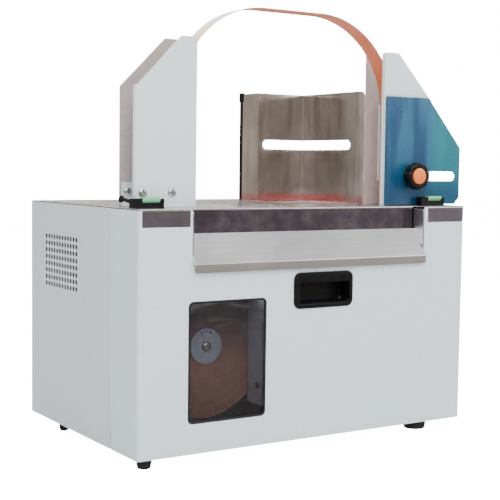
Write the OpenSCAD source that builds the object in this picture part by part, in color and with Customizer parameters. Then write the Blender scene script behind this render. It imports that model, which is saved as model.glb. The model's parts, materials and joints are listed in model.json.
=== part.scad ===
// Table-top band strapping machine: a sheet-metal case with a stainless table,
// two towers that carry the band arch, a paper-tape reel behind a window,
// a feed unit and a cam-driven sealing head.
// X runs along the front, Y from front to back, Z up from the floor.
// The origin is on the floor under the middle of the whole machine.

/* [Case] */
// Width of the case
case_w = 545; // [520:1:580]
// Depth of the case
case_d = 352; // [340:1:380]
// Height of the table top over the bottom of the case
case_h = 320; // [310:1:340]
// Height of the rubber feet
foot_h = 12; // [8:1:20]
// Sheet thickness of the case
sheet = 1.5; // [1:0.1:2]
// Depth of the front cover's side returns
return_d = 79.5; // [60:0.5:79.5]
// Radius of the cover's vertical bends
bend_r = 4; // [2:0.5:6]

/* [Front cover] */
// Width of the reel window
window_w = 120; // [100:1:130]
// Height of the reel window
window_h = 160; // [140:1:165]
// Height of the window's sill over the bottom of the case
window_sill = 40; // [30:1:45]
// Distance of the window from the left side of the case
window_in = 72.5; // [66:0.5:80]
// Width of the recessed pull
pull_w = 100; // [80:1:120]
// Height of the recessed pull
pull_h = 50; // [40:1:56]
// Depth of the recessed pull
pull_d = 22; // [16:1:26]
// Width of the opening over the stainless tray
tray_w = 390; // [370:1:400]
// How far the tray's lip stands out in front of the cover
lip_out = 6; // [4:1:9]
// Distance of the table's front band behind the cover
band_in = 24; // [20:1:28]

/* [Towers and arch] */
// Clear width between the towers
goods_w = 318; // [300:1:330]
// Width of one tower plate
tower_w = 92; // [86:1:96]
// Height of a tower plate over the table
tower_h = 225; // [200:1:235]
// Width and height of the slanted corner
tower_cut = 67; // [50:1:75]
// Front face of the front tower plates, behind the cover
tower_y = 53.3; // [52:0.1:56]
// Distance between the front faces of a tower's two plates
tower_gap = 45.7; // [44:0.1:50]
// Thickness of a tower plate
tower_t = 2; // [1.5:0.1:2.5]
// Width of the band guide strip
arch_w = 30; // [26:1:32]
// Height of the arch's crown over the table
arch_h = 273; // [260:1:285]
// Radius of the arch's shoulders
arch_r = 135; // [120:1:140]
// Half the distance between the arch's legs
arch_half = 183; // [180:1:185]

/* [Reel] */
// Radius of the full tape roll
roll_r = 99; // [60:1:99]
// Width of the tape
tape_w = 30; // [26:1:30]
// Radius of the reel's front disc
disc_r = 24.5; // [22.5:0.5:30]

/* [Guides] */
// How far the side guide overhangs the right side of the case
guide_over = 33; // [20:1:40]
// Travel of the side guide
guide_travel = 80; // [40:1:80]
// Height of the back stop over the table
stop_h = 170; // [150:1:180]
// Travel of the back stop
stop_travel = 25; // [10:1:25]

/* [Hidden] */
$fn = 48;

cx = -guide_over / 2;            // middle of the case in X
fy = -(case_d - lip_out) / 2;    // front face of the cover in Y
hw = case_w / 2;                 // half the width of the case
bot = foot_h;                    // underside of the case
top = foot_h + case_h;           // upper face of the table
gap = 0.3;                       // clearance between pieces that move apart
fit = 0.05;                      // radial clearance of a running fit

win_x0 = -hw + window_in;
win_x1 = win_x0 + window_w;
win_z0 = bot + window_sill;
win_z1 = win_z0 + window_h;
pull_x0 = -36.2;
pull_z0 = bot + 181.5;
tray_z = bot + 286;              // upper edge of the tray's slope
lip_z = bot + 248;               // upper edge of the tray's lip
lip_h = 11;
tab_z = top - 23;                // lower edge of the table's corner tabs
tab_w = 69;
tabs = [[-hw + 5, -hw + 5 + tab_w], [hw - tab_w - 2, hw - 2]]; // left and right corner tabs

inner = goods_w / 2;             // inner edge of a tower
outer = inner + tower_w;         // outer edge of a tower
rear_y = tower_y + tower_gap;    // front face of the rear tower plates
base_in = 190;                   // tower base, from its inner end
base_out = outer - 3;
screw_xs = [197, 240];
screw_z = top + 19.5;

plane_y = 62;                    // front edge of the tape, the arch and the roll
plane_y1 = plane_y + arch_w;
plate_y = 103;                   // front face of the mechanism plate
plate_t = 4;
reel_x = -138.5;
reel_z = bot + 130;
spindle_r = 6;
core_r = 20;

feed_x = 120;
feed_z = bot + 232;
feed_r = 14;
pinch_r = 12;
dancer_x = 60;
dancer_z = bot + 196;
dancer_len = 46;
dancer_r = 9;
cam_z = bot + 190;
cam_axle_r = 6;
cam_pulley_r = 25;
motor_pulley_r = 10;
motor_x = 62;
motor_z = bot + 120;
pulley_y0 = 116;
pulley_y1 = 126;
plunger_w = 34;
plunger_d = 24;

guide_y = 48;
guide_t = 1.5;
guide_x0 = inner - 1;
guide_x1 = hw + guide_over;
guide_z0 = top + 1;
guide_z1 = top + 160.5;
guide_slot_z = top + 43.5;
knob_x = 206;
stud_r = 4;
stop_x0 = 65.5;
stop_x1 = 155.5;
stop_y0 = 110;
stop_y1 = 255;
stop_slot_z = top + 89.5;
stop_knob_x = 120;
stop_knob_y = 322;
latch_y = 35;
latch_left = -263;
latch_right = 218.5;
latch_w = 45;
latch_d = 11;
latch_h = 12;
tab_in = 14;
tab_len = 26;

// Box between two corners, from the middle of the front face and the floor
module blk(x0, x1, y0, y1, z0, z1)
  translate([cx + x0, fy + y0, z0]) cube([x1 - x0, y1 - y0, z1 - z0]);

// Round bar along Y
module ycyl(r, y0, y1, x, z)
  translate([cx + x, fy + y0, z]) rotate([-90, 0, 0]) cylinder(r = r, h = y1 - y0);

// Round bar along Z
module zcyl(r, z0, z1, x, y)
  translate([cx + x, fy + y, z0]) cylinder(r = r, h = z1 - z0);

// Outline in X and Z, drawn out along Y
module xz(y0, y1)
  translate([cx, fy + y1, 0]) rotate([90, 0, 0]) linear_extrude(y1 - y0) children();

// Outline in Y and Z, drawn out along X
module yz(x0, x1)
  translate([cx + x0, fy, 0]) rotate([90, 0, 90]) linear_extrude(x1 - x0) children();

// Outline in X and Y, drawn out along Z
module xy(z0, z1)
  translate([cx, fy, z0]) linear_extrude(z1 - z0) children();

// Rectangle with round corners
module rrect(x0, x1, z0, z1, r) {
  translate([x0 + r, z0]) square([x1 - x0 - 2 * r, z1 - z0]);
  translate([x0, z0 + r]) square([x1 - x0, z1 - z0 - 2 * r]);
  for (x = [x0 + r, x1 - r], z = [z0 + r, z1 - r]) translate([x, z]) circle(r = r);
}

// Slot with round ends along X
module slot2d(x0, x1, z, r) {
  translate([x0, z - r]) square([x1 - x0, 2 * r]);
  for (x = [x0, x1]) translate([x, z]) circle(r = r);
}

/* ---- case ---- */
module base_pan() color([0.72, 0.74, 0.75]) {
  difference() {
    blk(-hw + sheet + gap, hw - sheet - gap, bend_r, case_d - sheet, bot, bot + 16);
    blk(-hw + 2 * sheet + gap, hw - 2 * sheet - gap, bend_r + sheet, case_d - 2 * sheet,
      bot + sheet, bot + 20);
  }
}

// Middle of each foot in X and Y, and its upper radius
foot_list = [[-257, 12, 10.5], [200, 18.5, 17.5], [-261, 256, 8], [200, 256, 17.5]];
module feet() color([0.06, 0.06, 0.07])
  for (f = foot_list)
    translate([cx + f[0], fy + f[1], 0]) rotate_extrude()
      polygon([[0, 0], [f[2] - 2.2, 0], [f[2] - 1, 2], [f[2], foot_h], [0, foot_h]]);

post_w = 18;
module inner_frame() color([0.62, 0.64, 0.66])
  for (sx = [-1, 1], yy = [[84, 1], [346, -1]])
    translate([cx + sx * (hw - 6), fy + yy[0], bot + sheet])
      for (s = [[post_w, 2], [2, post_w]])
        translate([sx < 0 ? 0 : -s[0], yy[1] > 0 ? 0 : -s[1], 0])
          cube([s[0], s[1], case_h - 2 * sheet]);

vent_half = 3;
vent_cols = 12;
vent_rows = 8;
vent_y = 189.5;
vent_z = bot + 201;
vent_dy = 105 / (vent_cols - 1);
vent_dz = 69 / (vent_rows - 1);
module side_sheet() {
  difference() {
    blk(-hw, -hw + sheet, return_d + 0.8, case_d - sheet, bot, top - sheet);
    for (i = [0:vent_cols - 1], j = [0:vent_rows - 1])
      blk(-hw - 1, -hw + 3, vent_y + i * vent_dy - vent_half, vent_y + i * vent_dy + vent_half,
        vent_z + j * vent_dz - vent_half, vent_z + j * vent_dz + vent_half);
  }
}
module left_side_panel() color([0.75, 0.78, 0.79]) side_sheet();
module right_side_panel() color([0.75, 0.78, 0.79])
  translate([2 * cx, 0, 0]) mirror([1, 0, 0]) side_sheet();

fan_x = -150;
fan_z = bot + 210;
fan_half = 40;
inlet_x = 190;
inlet_z = bot + 60;
switch_x = 145;
rear_in = case_d - sheet;
module rear_panel() color([0.75, 0.78, 0.79]) difference() {
  blk(-hw, hw, rear_in, case_d, bot, top - sheet);
  for (a = [-3:3])
    let (half = sqrt(pow(34, 2) - pow(a * 9, 2)))
      xz(rear_in - 1, case_d + 1) slot2d(fan_x - half + 3, fan_x + half - 3, fan_z + a * 9, 3);
  blk(inlet_x - 14, inlet_x + 14, rear_in - 1, case_d + 1, inlet_z - 10, inlet_z + 10);
  blk(switch_x - 11, switch_x + 11, rear_in - 1, case_d + 1, inlet_z - 14.5, inlet_z + 14.5);
}

leg_slot = 4;
module table_top() color([0.80, 0.80, 0.80]) difference() {
  union() {
    blk(-hw, hw, band_in, case_d, top - sheet, top);
    for (sx = [[-hw, -tray_w / 2], [tray_w / 2, hw]])
      blk(sx[0], sx[1], 0, band_in + 1, top - sheet, top);
    for (sx = tabs)
      xz(0, sheet) {
        rrect(sx[0], sx[1], tab_z, top - 4, 3);
        translate([sx[0], top - 10]) square([sx[1] - sx[0], 10]);
      }
    blk(-tray_w / 2, tray_w / 2, band_in, band_in + sheet, tray_z + gap, top - 0.5);
  }
  blk(-46, 46, plane_y - 5, plane_y1 + 5, top - 5, top + 1);
  for (sx = [-1, 1])
    blk(sx * arch_half - leg_slot / 2, sx * arch_half + leg_slot / 2, plane_y - 1, plane_y1 + 1,
      top - 5, top + 1);
  zcyl(3 + fit, top - 5, top + 1, stop_knob_x, stop_knob_y);
}

module mechanism_plate() color([0.66, 0.68, 0.70]) difference() {
  blk(-hw + 30, hw - 30, plate_y, plate_y + plate_t, bot + sheet, top - sheet);
  ycyl(cam_axle_r + fit, plate_y - 1, plate_y + 10, 0, cam_z);
  ycyl(4 + fit, plate_y - 1, plate_y + 10, feed_x, feed_z);
  for (x = [-190, 200]) xz(plate_y - 1, plate_y + 10) rrect(x - 30, x + 30, bot + 30, bot + 90, 8);
}

/* ---- towers ---- */
// Right-hand tower outline: open inner edge, slanted outer corner
module tower_outline() polygon([[inner, top + 0.1], [outer, top + 0.1],
  [outer, top + tower_h - tower_cut], [outer - tower_cut, top + tower_h], [inner, top + tower_h]]);

module tower_plate(y, side, flanged, cap_hole = false) difference() {
  union() {
    xz(y, y + tower_t) scale([side, 1]) tower_outline();
    if (flanged) {
      for (x = [[inner, inner + tower_t, top + tower_h], [outer - tower_t, outer,
        top + tower_h - tower_cut]])
        blk(side > 0 ? x[0] : -x[1], side > 0 ? x[1] : -x[0], y, y + 8, top + 0.1, x[2]);
    }
  }
  for (x = screw_xs) ycyl(2.75, y - 1, y + 9, side * x, screw_z);
  if (cap_hole) ycyl(stud_r + 0.5, y - 1, y + 9, knob_x, guide_slot_z);
}
module left_tower_front() color([0.82, 0.85, 0.86]) tower_plate(tower_y, -1, true);
module left_tower_rear() color([0.82, 0.85, 0.86]) tower_plate(rear_y, -1, false);
module right_tower_front() color([0.82, 0.85, 0.86]) tower_plate(tower_y, 1, true, true);
module right_tower_rear() color([0.82, 0.85, 0.86]) tower_plate(rear_y, 1, false);

module tower_bases() color([0.78, 0.80, 0.81])
  for (side = [-1, 1]) difference() {
    blk(side > 0 ? base_in : -base_out, side > 0 ? base_out : -base_in,
      tower_y + tower_t, rear_y, top, top + 32);
    blk(side > 0 ? base_in - 1 : -base_out - 1, side > 0 ? base_out + 1 : -base_in + 1,
      tower_y + tower_t + 2, rear_y - 2, top + 2, top + 40);
    for (x = screw_xs) ycyl(2.75, tower_y, rear_y + 5, side * x, screw_z);
  }

// Pan-head screw along Y, its head towards the front
module pan_screw(x, y, z, len) translate([cx + x, fy + y, z]) rotate([90, 0, 0]) difference() {
  union() {
    rotate_extrude() polygon([[0, 0], [6, 0], [6, 1], [4.8, 2.6], [2.6, 3.4], [0, 3.6]]);
    translate([0, 0, -len]) cylinder(r = 2.5, h = len + 0.1);
  }
  for (a = [0, 90]) rotate(a) translate([-2.8, -0.5, 2]) cube([5.6, 1, 3]);
}
module tower_screws() color([0.85, 0.85, 0.85])
  for (side = [-1, 1], x = screw_xs) {
    pan_screw(side * x, tower_y, screw_z, 7);
    pan_screw(side * x, rear_y - 2, screw_z, 7);
  }

module arch_rails() color([0.35, 0.36, 0.37])
  for (side = [-1, 1]) difference() {
    blk(side > 0 ? arch_half + 1 : -arch_half - 9, side > 0 ? arch_half + 9 : -arch_half - 1,
      tower_y + tower_t, rear_y, top + 36, top + 150);
    blk(side > 0 ? arch_half + 3 : -arch_half - 10, side > 0 ? arch_half + 10 : -arch_half - 3,
      tower_y + tower_t + 2, rear_y - 2, top + 30, top + 160);
  }

// Half of the arch: a leg, a shoulder and half of the crown
module arch_outline(r, d) {
  shoulder_x = arch_half - arch_r;
  shoulder_z = top + arch_h - arch_r;
  translate([-shoulder_x, shoulder_z + r - d]) square([2 * shoulder_x, d]);
  for (s = [-1, 1]) {
    translate([s * shoulder_x, shoulder_z]) intersection() {
      difference() {
        circle(r = r, $fn = 96);
        circle(r = r - d, $fn = 96);
      }
      translate([s > 0 ? 0 : -2 * r, 0]) square([2 * r, 2 * r]);
    }
    translate([s > 0 ? shoulder_x + r - d : -shoulder_x - r, top - 30])
      square([d, shoulder_z - top + 30]);
  }
}
module arch_guide() color([0.93, 0.55, 0.33]) xz(plane_y, plane_y1) arch_outline(arch_r, 1.2);

/* ---- sealing head ---- */
module head_frame() color([0.55, 0.57, 0.60]) difference() {
  blk(-50, 50, plane_y - 4, plate_y, cam_z + 34, top - 4);
  blk(-plunger_w / 2 - 0.1, plunger_w / 2 + 0.1, plane_y + 3 - 0.1, plane_y + 3 + plunger_d + 0.1,
    cam_z, top);
}
module anvil_plate() color([0.75, 0.76, 0.78]) difference() {
  blk(-45, 45, plane_y - 4, plane_y1 + 4, top - 4, top);
  blk(-30, 30, plane_y + 14.2, plane_y + 15.8, top - 5, top + 1);
}
module clamp_plunger() color([0.40, 0.42, 0.45]) difference() {
  blk(-plunger_w / 2, plunger_w / 2, plane_y + 3, plane_y + 3 + plunger_d, cam_z + 15, top - 12);
  blk(-6, 6, plane_y, plane_y + 40, cam_z + 10, cam_z + 26);
}
module cam_shaft() color([0.60, 0.61, 0.63]) {
  ycyl(cam_axle_r, plane_y + 2, pulley_y1, 0, cam_z);
  for (y = [plane_y + 5, plane_y + 18])
    xz(y, y + 7) difference() {
      union() {
        translate([0, cam_z]) circle(r = 11);
        translate([0, cam_z - 5]) circle(r = 8.5);
      }
      translate([0, cam_z]) circle(r = cam_axle_r);
    }
}
module cam_pulley() color([0.30, 0.31, 0.33])
  toothed_pulley(0, cam_z, cam_pulley_r, 40, cam_axle_r);
module motor_pulley() color([0.30, 0.31, 0.33]) {
  toothed_pulley(motor_x, motor_z, motor_pulley_r, 16, 4);
  ycyl(4, 112, 150, motor_x, motor_z);
}

// Flanged pulley with round grooves across its face
module toothed_pulley(x, z, r, teeth, bore) difference() {
  ycyl(r, pulley_y0, pulley_y1, x, z);
  for (i = [0:teeth - 1])
    ycyl(0.9, pulley_y0 - 1, pulley_y1 + 1, x + r * cos(i * 360 / teeth),
      z + r * sin(i * 360 / teeth));
  ycyl(bore, pulley_y0 - 1, pulley_y1 + 1, x, z);
}

// The belt lies on the outer tangents of the two pulleys
belt_t = 1.6;
module drive_belt() color([0.08, 0.08, 0.09]) {
  dx = motor_x;
  dz = motor_z - cam_z;
  dist = sqrt(dx * dx + dz * dz);
  turn = atan2(dz, dx);
  translate([cx, fy + pulley_y1 - 1, cam_z]) rotate([90, -turn, 0]) linear_extrude(8)
    difference() {
      belt_loop(dist, belt_t);
      belt_loop(dist, 0);
    }
}
// Outline around both pulleys, d outside their gap
module belt_loop(dist, d) hull() {
  circle(r = cam_pulley_r + gap + d, $fn = 64);
  translate([dist, 0]) circle(r = motor_pulley_r + gap + d, $fn = 32);
}

module main_motor() color([0.25, 0.26, 0.28]) difference() {
  union() {
    ycyl(34, 137, 215, motor_x, motor_z);
    ycyl(12, 133, 138, motor_x, motor_z);
  }
  ycyl(4 + fit, 130, 152, motor_x, motor_z);
}
module motor_mount() color([0.60, 0.62, 0.64]) difference() {
  union() {
    blk(motor_x - 42, motor_x + 42, 133, 137, bot + sheet, motor_z + 42);
    blk(motor_x - 42, motor_x + 42, 133, 215, bot + sheet, bot + sheet + 4);
  }
  ycyl(12 + fit, 130, 140, motor_x, motor_z);
}

/* ---- tape feed ---- */
module feed_motor() color([0.30, 0.30, 0.32]) difference() {
  blk(feed_x - 28, feed_x + 28, plate_y + plate_t, 165, feed_z - 28, feed_z + 28);
  ycyl(4 + fit, 100, 150, feed_x, feed_z);
}
module feed_roller() color([0.15, 0.15, 0.16]) {
  ycyl(4, plane_y - 2, 148, feed_x, feed_z);
  difference() {
    ycyl(feed_r, plane_y, plane_y1, feed_x, feed_z);
    ycyl(4, plane_y - 1, plane_y1 + 1, feed_x, feed_z);
  }
}
pinch_z = feed_z + feed_r + pinch_r + gap;
module pinch_roller() color([0.70, 0.72, 0.74]) difference() {
  ycyl(pinch_r, plane_y, plane_y1, feed_x, pinch_z);
  ycyl(4 + fit, plane_y - 1, plane_y1 + 1, feed_x, pinch_z);
}
pins = [[feed_x, pinch_z, 4], [-66, bot + 250, 5], [-62, bot + 212, 5], [84, bot + 250, 5]];
module guide_pins() color([0.75, 0.76, 0.78]) {
  for (p = pins) {
    ycyl(p[2], plane_y - 0.5, plate_y, p[0], p[1]);
    ycyl(p[2] + 4, plane_y - 3, plane_y - 0.5, p[0], p[1]);
  }
  ycyl(4, plane_y1 + 1.5, plate_y, dancer_x, dancer_z);
}
module dancer_arm() color([0.50, 0.52, 0.54]) difference() {
  union() {
    ycyl(8, plane_y1 + 1.5, plate_y - 1, dancer_x, dancer_z);
    ycyl(7, plane_y1 + 1.5, plane_y1 + 5.5, dancer_x, dancer_z - dancer_len);
    blk(dancer_x - 5, dancer_x + 5, plane_y1 + 1.5, plane_y1 + 5.5, dancer_z - dancer_len, dancer_z);
    ycyl(3, plane_y - 1, plane_y1 + 2, dancer_x, dancer_z - dancer_len);
  }
  ycyl(4 + fit, plane_y1, plate_y, dancer_x, dancer_z);
}
module dancer_wheel() color([0.85, 0.85, 0.83]) difference() {
  ycyl(dancer_r, plane_y, plane_y1, dancer_x, dancer_z - dancer_len);
  ycyl(3 + fit, plane_y - 1, plane_y1 + 1, dancer_x, dancer_z - dancer_len);
}

/* ---- reel ---- */
module reel_spindle() color([0.70, 0.71, 0.73]) {
  ycyl(spindle_r, plane_y - 4, plate_y, reel_x, reel_z);
  ycyl(spindle_r + 6, plane_y1 + 4.4, plate_y, reel_x, reel_z);
}
module spindle_screw() color([0.20, 0.20, 0.22])
  translate([cx + reel_x, fy + plane_y - 4, reel_z]) rotate([90, 0, 0]) difference() {
    rotate_extrude() polygon([[0, 0], [6.8, 0], [6.8, 1], [5, 3], [0, 3.6]]);
    translate([0, 0, 2]) cylinder(r = 2, h = 3);
  }
module reel_core() color([0.70, 0.58, 0.42]) difference() {
  ycyl(core_r, plane_y, plane_y1 + 2, reel_x, reel_z);
  ycyl(spindle_r + fit, plane_y - 1, plane_y1 + 3, reel_x, reel_z);
}
module tape_roll() color([0.62, 0.47, 0.36]) difference() {
  ycyl(roll_r, plane_y, plane_y + tape_w, reel_x, reel_z);
  ycyl(core_r, plane_y - 1, plane_y1 + 3, reel_x, reel_z);
}
module reel_front_disc() color([0.62, 0.63, 0.66]) difference() {
  ycyl(disc_r, plane_y - 3, plane_y, reel_x, reel_z);
  ycyl(spindle_r + fit, plane_y - 5, plane_y + 1, reel_x, reel_z);
  for (a = [70, 90, 110])
    ycyl(1.6, plane_y - 5, plane_y + 1, reel_x + 20 * cos(a), reel_z + 20 * sin(a));
}
module reel_rear_disc() color([0.55, 0.56, 0.58]) difference() {
  ycyl(50, plane_y1 + 2, plane_y1 + 4, reel_x, reel_z);
  ycyl(spindle_r + fit, plane_y1, plane_y1 + 6, reel_x, reel_z);
}

/* ---- electrics ---- */
module control_board() color([0.10, 0.35, 0.20]) {
  blk(-60, 90, 316, 317.6, bot + 60, bot + 170);
  for (x = [-52, 82], z = [bot + 68, bot + 162]) ycyl(3, 317.6, rear_in, x, z);
  for (i = [0:3]) blk(-48 + i * 32, -48 + i * 32 + 20, 308, 316, bot + 130, bot + 146);
  for (i = [0:5]) ycyl(6, 298, 316, -44 + i * 22, bot + 95);
}
module power_supply() color([0.70, 0.71, 0.72]) difference() {
  blk(-230, -110, 240, 340, bot + sheet, bot + 52);
  for (i = [0:9]) blk(-222 + i * 11, -216 + i * 11, 250, 330, bot + 48, bot + 60);
}
module fan_housing() color([0.08, 0.08, 0.09]) difference() {
  union() {
    difference() {
      blk(fan_x - fan_half, fan_x + fan_half, rear_in - 25, rear_in,
        fan_z - fan_half, fan_z + fan_half);
      ycyl(37, rear_in - 26, rear_in + 1, fan_x, fan_z);
    }
    blk(fan_x - 38, fan_x + 38, rear_in - 3.5, rear_in - 0.5, fan_z - 2, fan_z + 2);
    blk(fan_x - 2, fan_x + 2, rear_in - 3.5, rear_in - 0.5, fan_z - 38, fan_z + 38);
    ycyl(14, rear_in - 4, rear_in, fan_x, fan_z);
  }
  ycyl(2 + fit, rear_in - 10, rear_in + 1, fan_x, fan_z);
}
module fan_rotor() color([0.12, 0.12, 0.13]) {
  difference() {
    ycyl(16, rear_in - 22, rear_in - 6, fan_x, fan_z);
    ycyl(2, rear_in - 8, rear_in - 5, fan_x, fan_z);
  }
  ycyl(2, rear_in - 8, rear_in - 1, fan_x, fan_z);
  for (i = [0:6]) translate([cx + fan_x, fy + rear_in - 14, fan_z])
    rotate([0, i * 360 / 7, 0]) translate([25, 0, 0]) rotate([35, 0, 0])
      cube([19, 12, 1.6], center = true);
}
module power_inlet() color([0.05, 0.05, 0.06]) difference() {
  blk(inlet_x - 13.8, inlet_x + 13.8, rear_in - 24, case_d, inlet_z - 9.8, inlet_z + 9.8);
  blk(inlet_x - 11.5, inlet_x + 11.5, rear_in - 16, case_d + 1, inlet_z - 7.5, inlet_z + 7.5);
}
module switch_frame() color([0.05, 0.05, 0.06]) difference() {
  blk(switch_x - 10.8, switch_x + 10.8, rear_in - 18, case_d, inlet_z - 14.3, inlet_z + 14.3);
  blk(switch_x - 8.5, switch_x + 8.5, rear_in - 12, case_d + 1, inlet_z - 12, inlet_z + 12);
}
rocker_y = rear_in - 5.5;
module switch_rocker() color([0.60, 0.08, 0.06]) intersection() {
  translate([cx + switch_x - 8.2, fy, 0]) rotate([90, 0, 90]) linear_extrude(16.4)
    polygon([[rocker_y - 3, inlet_z - 6], [rocker_y + 4.4, inlet_z - 10.6], [rocker_y + 3.6, inlet_z],
      [rocker_y + 4.4, inlet_z + 10.6], [rocker_y - 3, inlet_z + 6]]);
  translate([cx + switch_x, fy + rocker_y, inlet_z]) rotate([0, 90, 0])
    cylinder(r = 11.2, h = 20, center = true);
}

/* ---- table latches ---- */
arm_y = latch_y + latch_d;
module latch_bodies() color([0.05, 0.05, 0.06]) {
  for (x = [latch_left, latch_right]) difference() {
    blk(x, x + latch_w, latch_y, arm_y, top, top + latch_h);
    blk(x + tab_in - gap, x + tab_in + tab_len + gap, latch_y + 1.5, arm_y - 1.5, top + 3, top + 20);
    blk(x + tab_in - gap, x + tab_in + tab_len + gap, latch_y - 1, latch_y + 2,
      top + latch_h - 5, top + 20);
  }
  yz(latch_left + 1, latch_left + 5) polygon([[arm_y - 1, top + 5.5], [arm_y - 1, top + 9.5],
    [arm_y + 27, top + 13], [arm_y + 27, top + 9]]);
  translate([cx + latch_left + 1, fy + arm_y + 29, top + 10.5]) rotate([0, 90, 0])
    cylinder(r = 4.5, h = 4);
}
module latch_tab(x) color([0.55, 0.90, 0.66]) {
  x1 = x + tab_in + tab_len;
  blk(x + tab_in, x1, latch_y + 2, arm_y - 2, top + 7, top + latch_h + 1.5);
  blk(x + tab_in, x1, latch_y + 0.3, latch_y + 3, top + latch_h - 2.7, top + latch_h + 1.5);
}
module left_latch_tab() latch_tab(latch_left);
module right_latch_tab() latch_tab(latch_right);
/* ---- front cover ---- */
module front_cover() color([0.80, 0.84, 0.85]) difference() {
  union() {
    blk(-hw + bend_r, hw - bend_r, 0, sheet, bot, top - sheet - gap);
    for (s = [-1, 1]) {
      blk(s > 0 ? hw - sheet : -hw, s > 0 ? hw : -hw + sheet, bend_r, return_d, bot, top - sheet - gap);
      xy(bot, top - sheet - gap) translate([s * (hw - bend_r), bend_r]) intersection() {
        difference() {
          circle(r = bend_r);
          circle(r = bend_r - sheet);
        }
        translate([s > 0 ? 0 : -bend_r, -bend_r]) square([bend_r, bend_r]);
      }
    }
  }
  xz(-1, sheet + 1) rrect(win_x0, win_x1, win_z0, win_z1, 7);
  xz(-1, sheet + 1) rrect(pull_x0 + 4, pull_x0 + pull_w - 4, pull_z0 + 4, pull_z0 + pull_h - 4, 7);
  blk(-tray_w / 2, tray_w / 2, -1, sheet + 1, lip_z + 6, top + 1);
  for (sx = tabs) blk(sx[0] - gap, sx[1] + gap, -1, bend_r, tab_z - gap, top + 1);
}
module window_gasket() color([0.05, 0.05, 0.06]) xz(-0.6, sheet + 0.3) difference() {
  rrect(win_x0 + 0.05, win_x1 - 0.05, win_z0 + 0.05, win_z1 - 0.05, 7);
  rrect(win_x0 + 3, win_x1 - 3, win_z0 + 3, win_z1 - 3, 4);
}
module window_pane() color([0.55, 0.50, 0.48, 0.4])
  xz(sheet + 0.3, sheet + 3.3) rrect(win_x0 - 7, win_x1 + 7, win_z0 - 7, win_z1 + 7, 3);
module pull_handle() color([0.06, 0.06, 0.08]) difference() {
  union() {
    xz(-2.5, 0) rrect(pull_x0, pull_x0 + pull_w, pull_z0, pull_z0 + pull_h, 10);
    xz(-1, pull_d)
      rrect(pull_x0 + 4.1, pull_x0 + pull_w - 4.1, pull_z0 + 4.1, pull_z0 + pull_h - 4.1, 7);
  }
  xz(-3, 4) rrect(pull_x0 + 10, pull_x0 + pull_w - 6, pull_z0 + 7, pull_z0 + pull_h - 15, 3);
  blk(pull_x0 + 10, pull_x0 + pull_w - 6, 3, pull_d - 2, pull_z0 + 7, pull_z0 + pull_h - 7);
}

// Slope and lip as one bent sheet, closed by a triangular wall at each end
tray_back = band_in - 1.5;
lip_in = lip_out - sheet;
module cover_tray() color([0.85, 0.85, 0.84]) {
  yz(-tray_w / 2 + 0.5, tray_w / 2 - 0.5) polygon([[tray_back, tray_z - gap], [-lip_in, lip_z],
    [-lip_in, lip_z - lip_h], [-lip_out, lip_z - lip_h], [-lip_out, lip_z + 1.5],
    [tray_back, tray_z + 1.5 - gap]]);
  blk(-tray_w / 2 + 0.5, tray_w / 2 - 0.5, sheet, 2 * sheet, lip_z - 8, lip_z + 9.5);
  for (x = [[-tray_w / 2 + 0.5, -tray_w / 2 + 2], [tray_w / 2 - 2, tray_w / 2 - 0.5]])
    yz(x[0], x[1]) polygon([[-2, lip_z + 6.4], [tray_back, tray_z + 0.5], [tray_back, top - 4],
      [0.4, top - 4], [0.4, lip_z + 10]]);
}
module window_shield() color([0.60, 0.61, 0.64]) {
  difference() {
    blk(win_x1 + 8, win_x1 + 9.5, sheet, 58, bot + 48, bot + 215);
    translate([cx + win_x1 + 5, fy + 32, bot + 75]) rotate([0, 90, 0]) cylinder(r = 2.2, h = 10);
  }
  blk(win_x1 + 8, win_x1 + 26, sheet, 2 * sheet, bot + 48, bot + 160);
}

/* ---- side guide ---- */
guide_slot_x0 = knob_x;
guide_slot_x1 = knob_x + guide_travel + 2.3;
module side_guide() color([0.20, 0.42, 0.55])
  xz(guide_y, guide_y + guide_t) difference() {
    polygon([[guide_x0, guide_z0], [guide_x1 - 10, guide_z0], [guide_x1, guide_z0 + 10],
      [guide_x1, top + 87], [outer - tower_cut + 56, guide_z1], [guide_x0, guide_z1]]);
    slot2d(guide_slot_x0, guide_slot_x1, guide_slot_z, 7.2);
  }
module guide_knob() color([0.05, 0.05, 0.06]) difference() {
  union() {
    ycyl(20, 26, 41, knob_x, guide_slot_z);
    ycyl(13, 40, guide_y - gap, knob_x, guide_slot_z);
    ycyl(stud_r, 40, tower_y + 12, knob_x, guide_slot_z);
  }
  ycyl(12.2, 25, 31, knob_x, guide_slot_z);
  for (i = [0:7])
    ycyl(4, 25, 42, knob_x + 22.2 * cos(i * 45 + 22.5), guide_slot_z + 22.2 * sin(i * 45 + 22.5));
}
module guide_knob_cap() color([0.95, 0.45, 0.15])
  translate([cx + knob_x, fy + 31, guide_slot_z]) rotate([90, 0, 0])
    rotate_extrude() polygon([[0, 0], [12, 0], [12, 6], [10.5, 7.2], [0, 7.6]]);

/* ---- back stop ---- */
stop_t = 1.5;
return_len = 50;
stop_z0 = top + 0.4;
stop_z1 = top + stop_h;
module back_stop() color([0.72, 0.70, 0.70]) difference() {
  union() {
    blk(stop_x0, stop_x1, stop_y1, stop_y1 + stop_t, stop_z0, stop_z1);
    blk(stop_x1 - stop_t, stop_x1, stop_y0, stop_y1 + stop_t, stop_z0, stop_z1);
    blk(stop_x0, stop_x0 + stop_t, stop_y1, stop_y1 + return_len, stop_z0, stop_z1);
    blk(stop_x1 - stop_t, stop_x1 + 11, stop_y0, stop_y0 + stop_t, stop_z0, stop_z1);
  }
  xz(stop_y1 - 1, stop_y1 + 3) slot2d(stop_x0 + 16, stop_x1 + 10, stop_slot_z, 6.8);
  yz(stop_x1 - 3, stop_x1 + 3) slot2d(stop_y0 + 20, stop_y1 + 10, stop_slot_z, 6.8);
}
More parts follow.
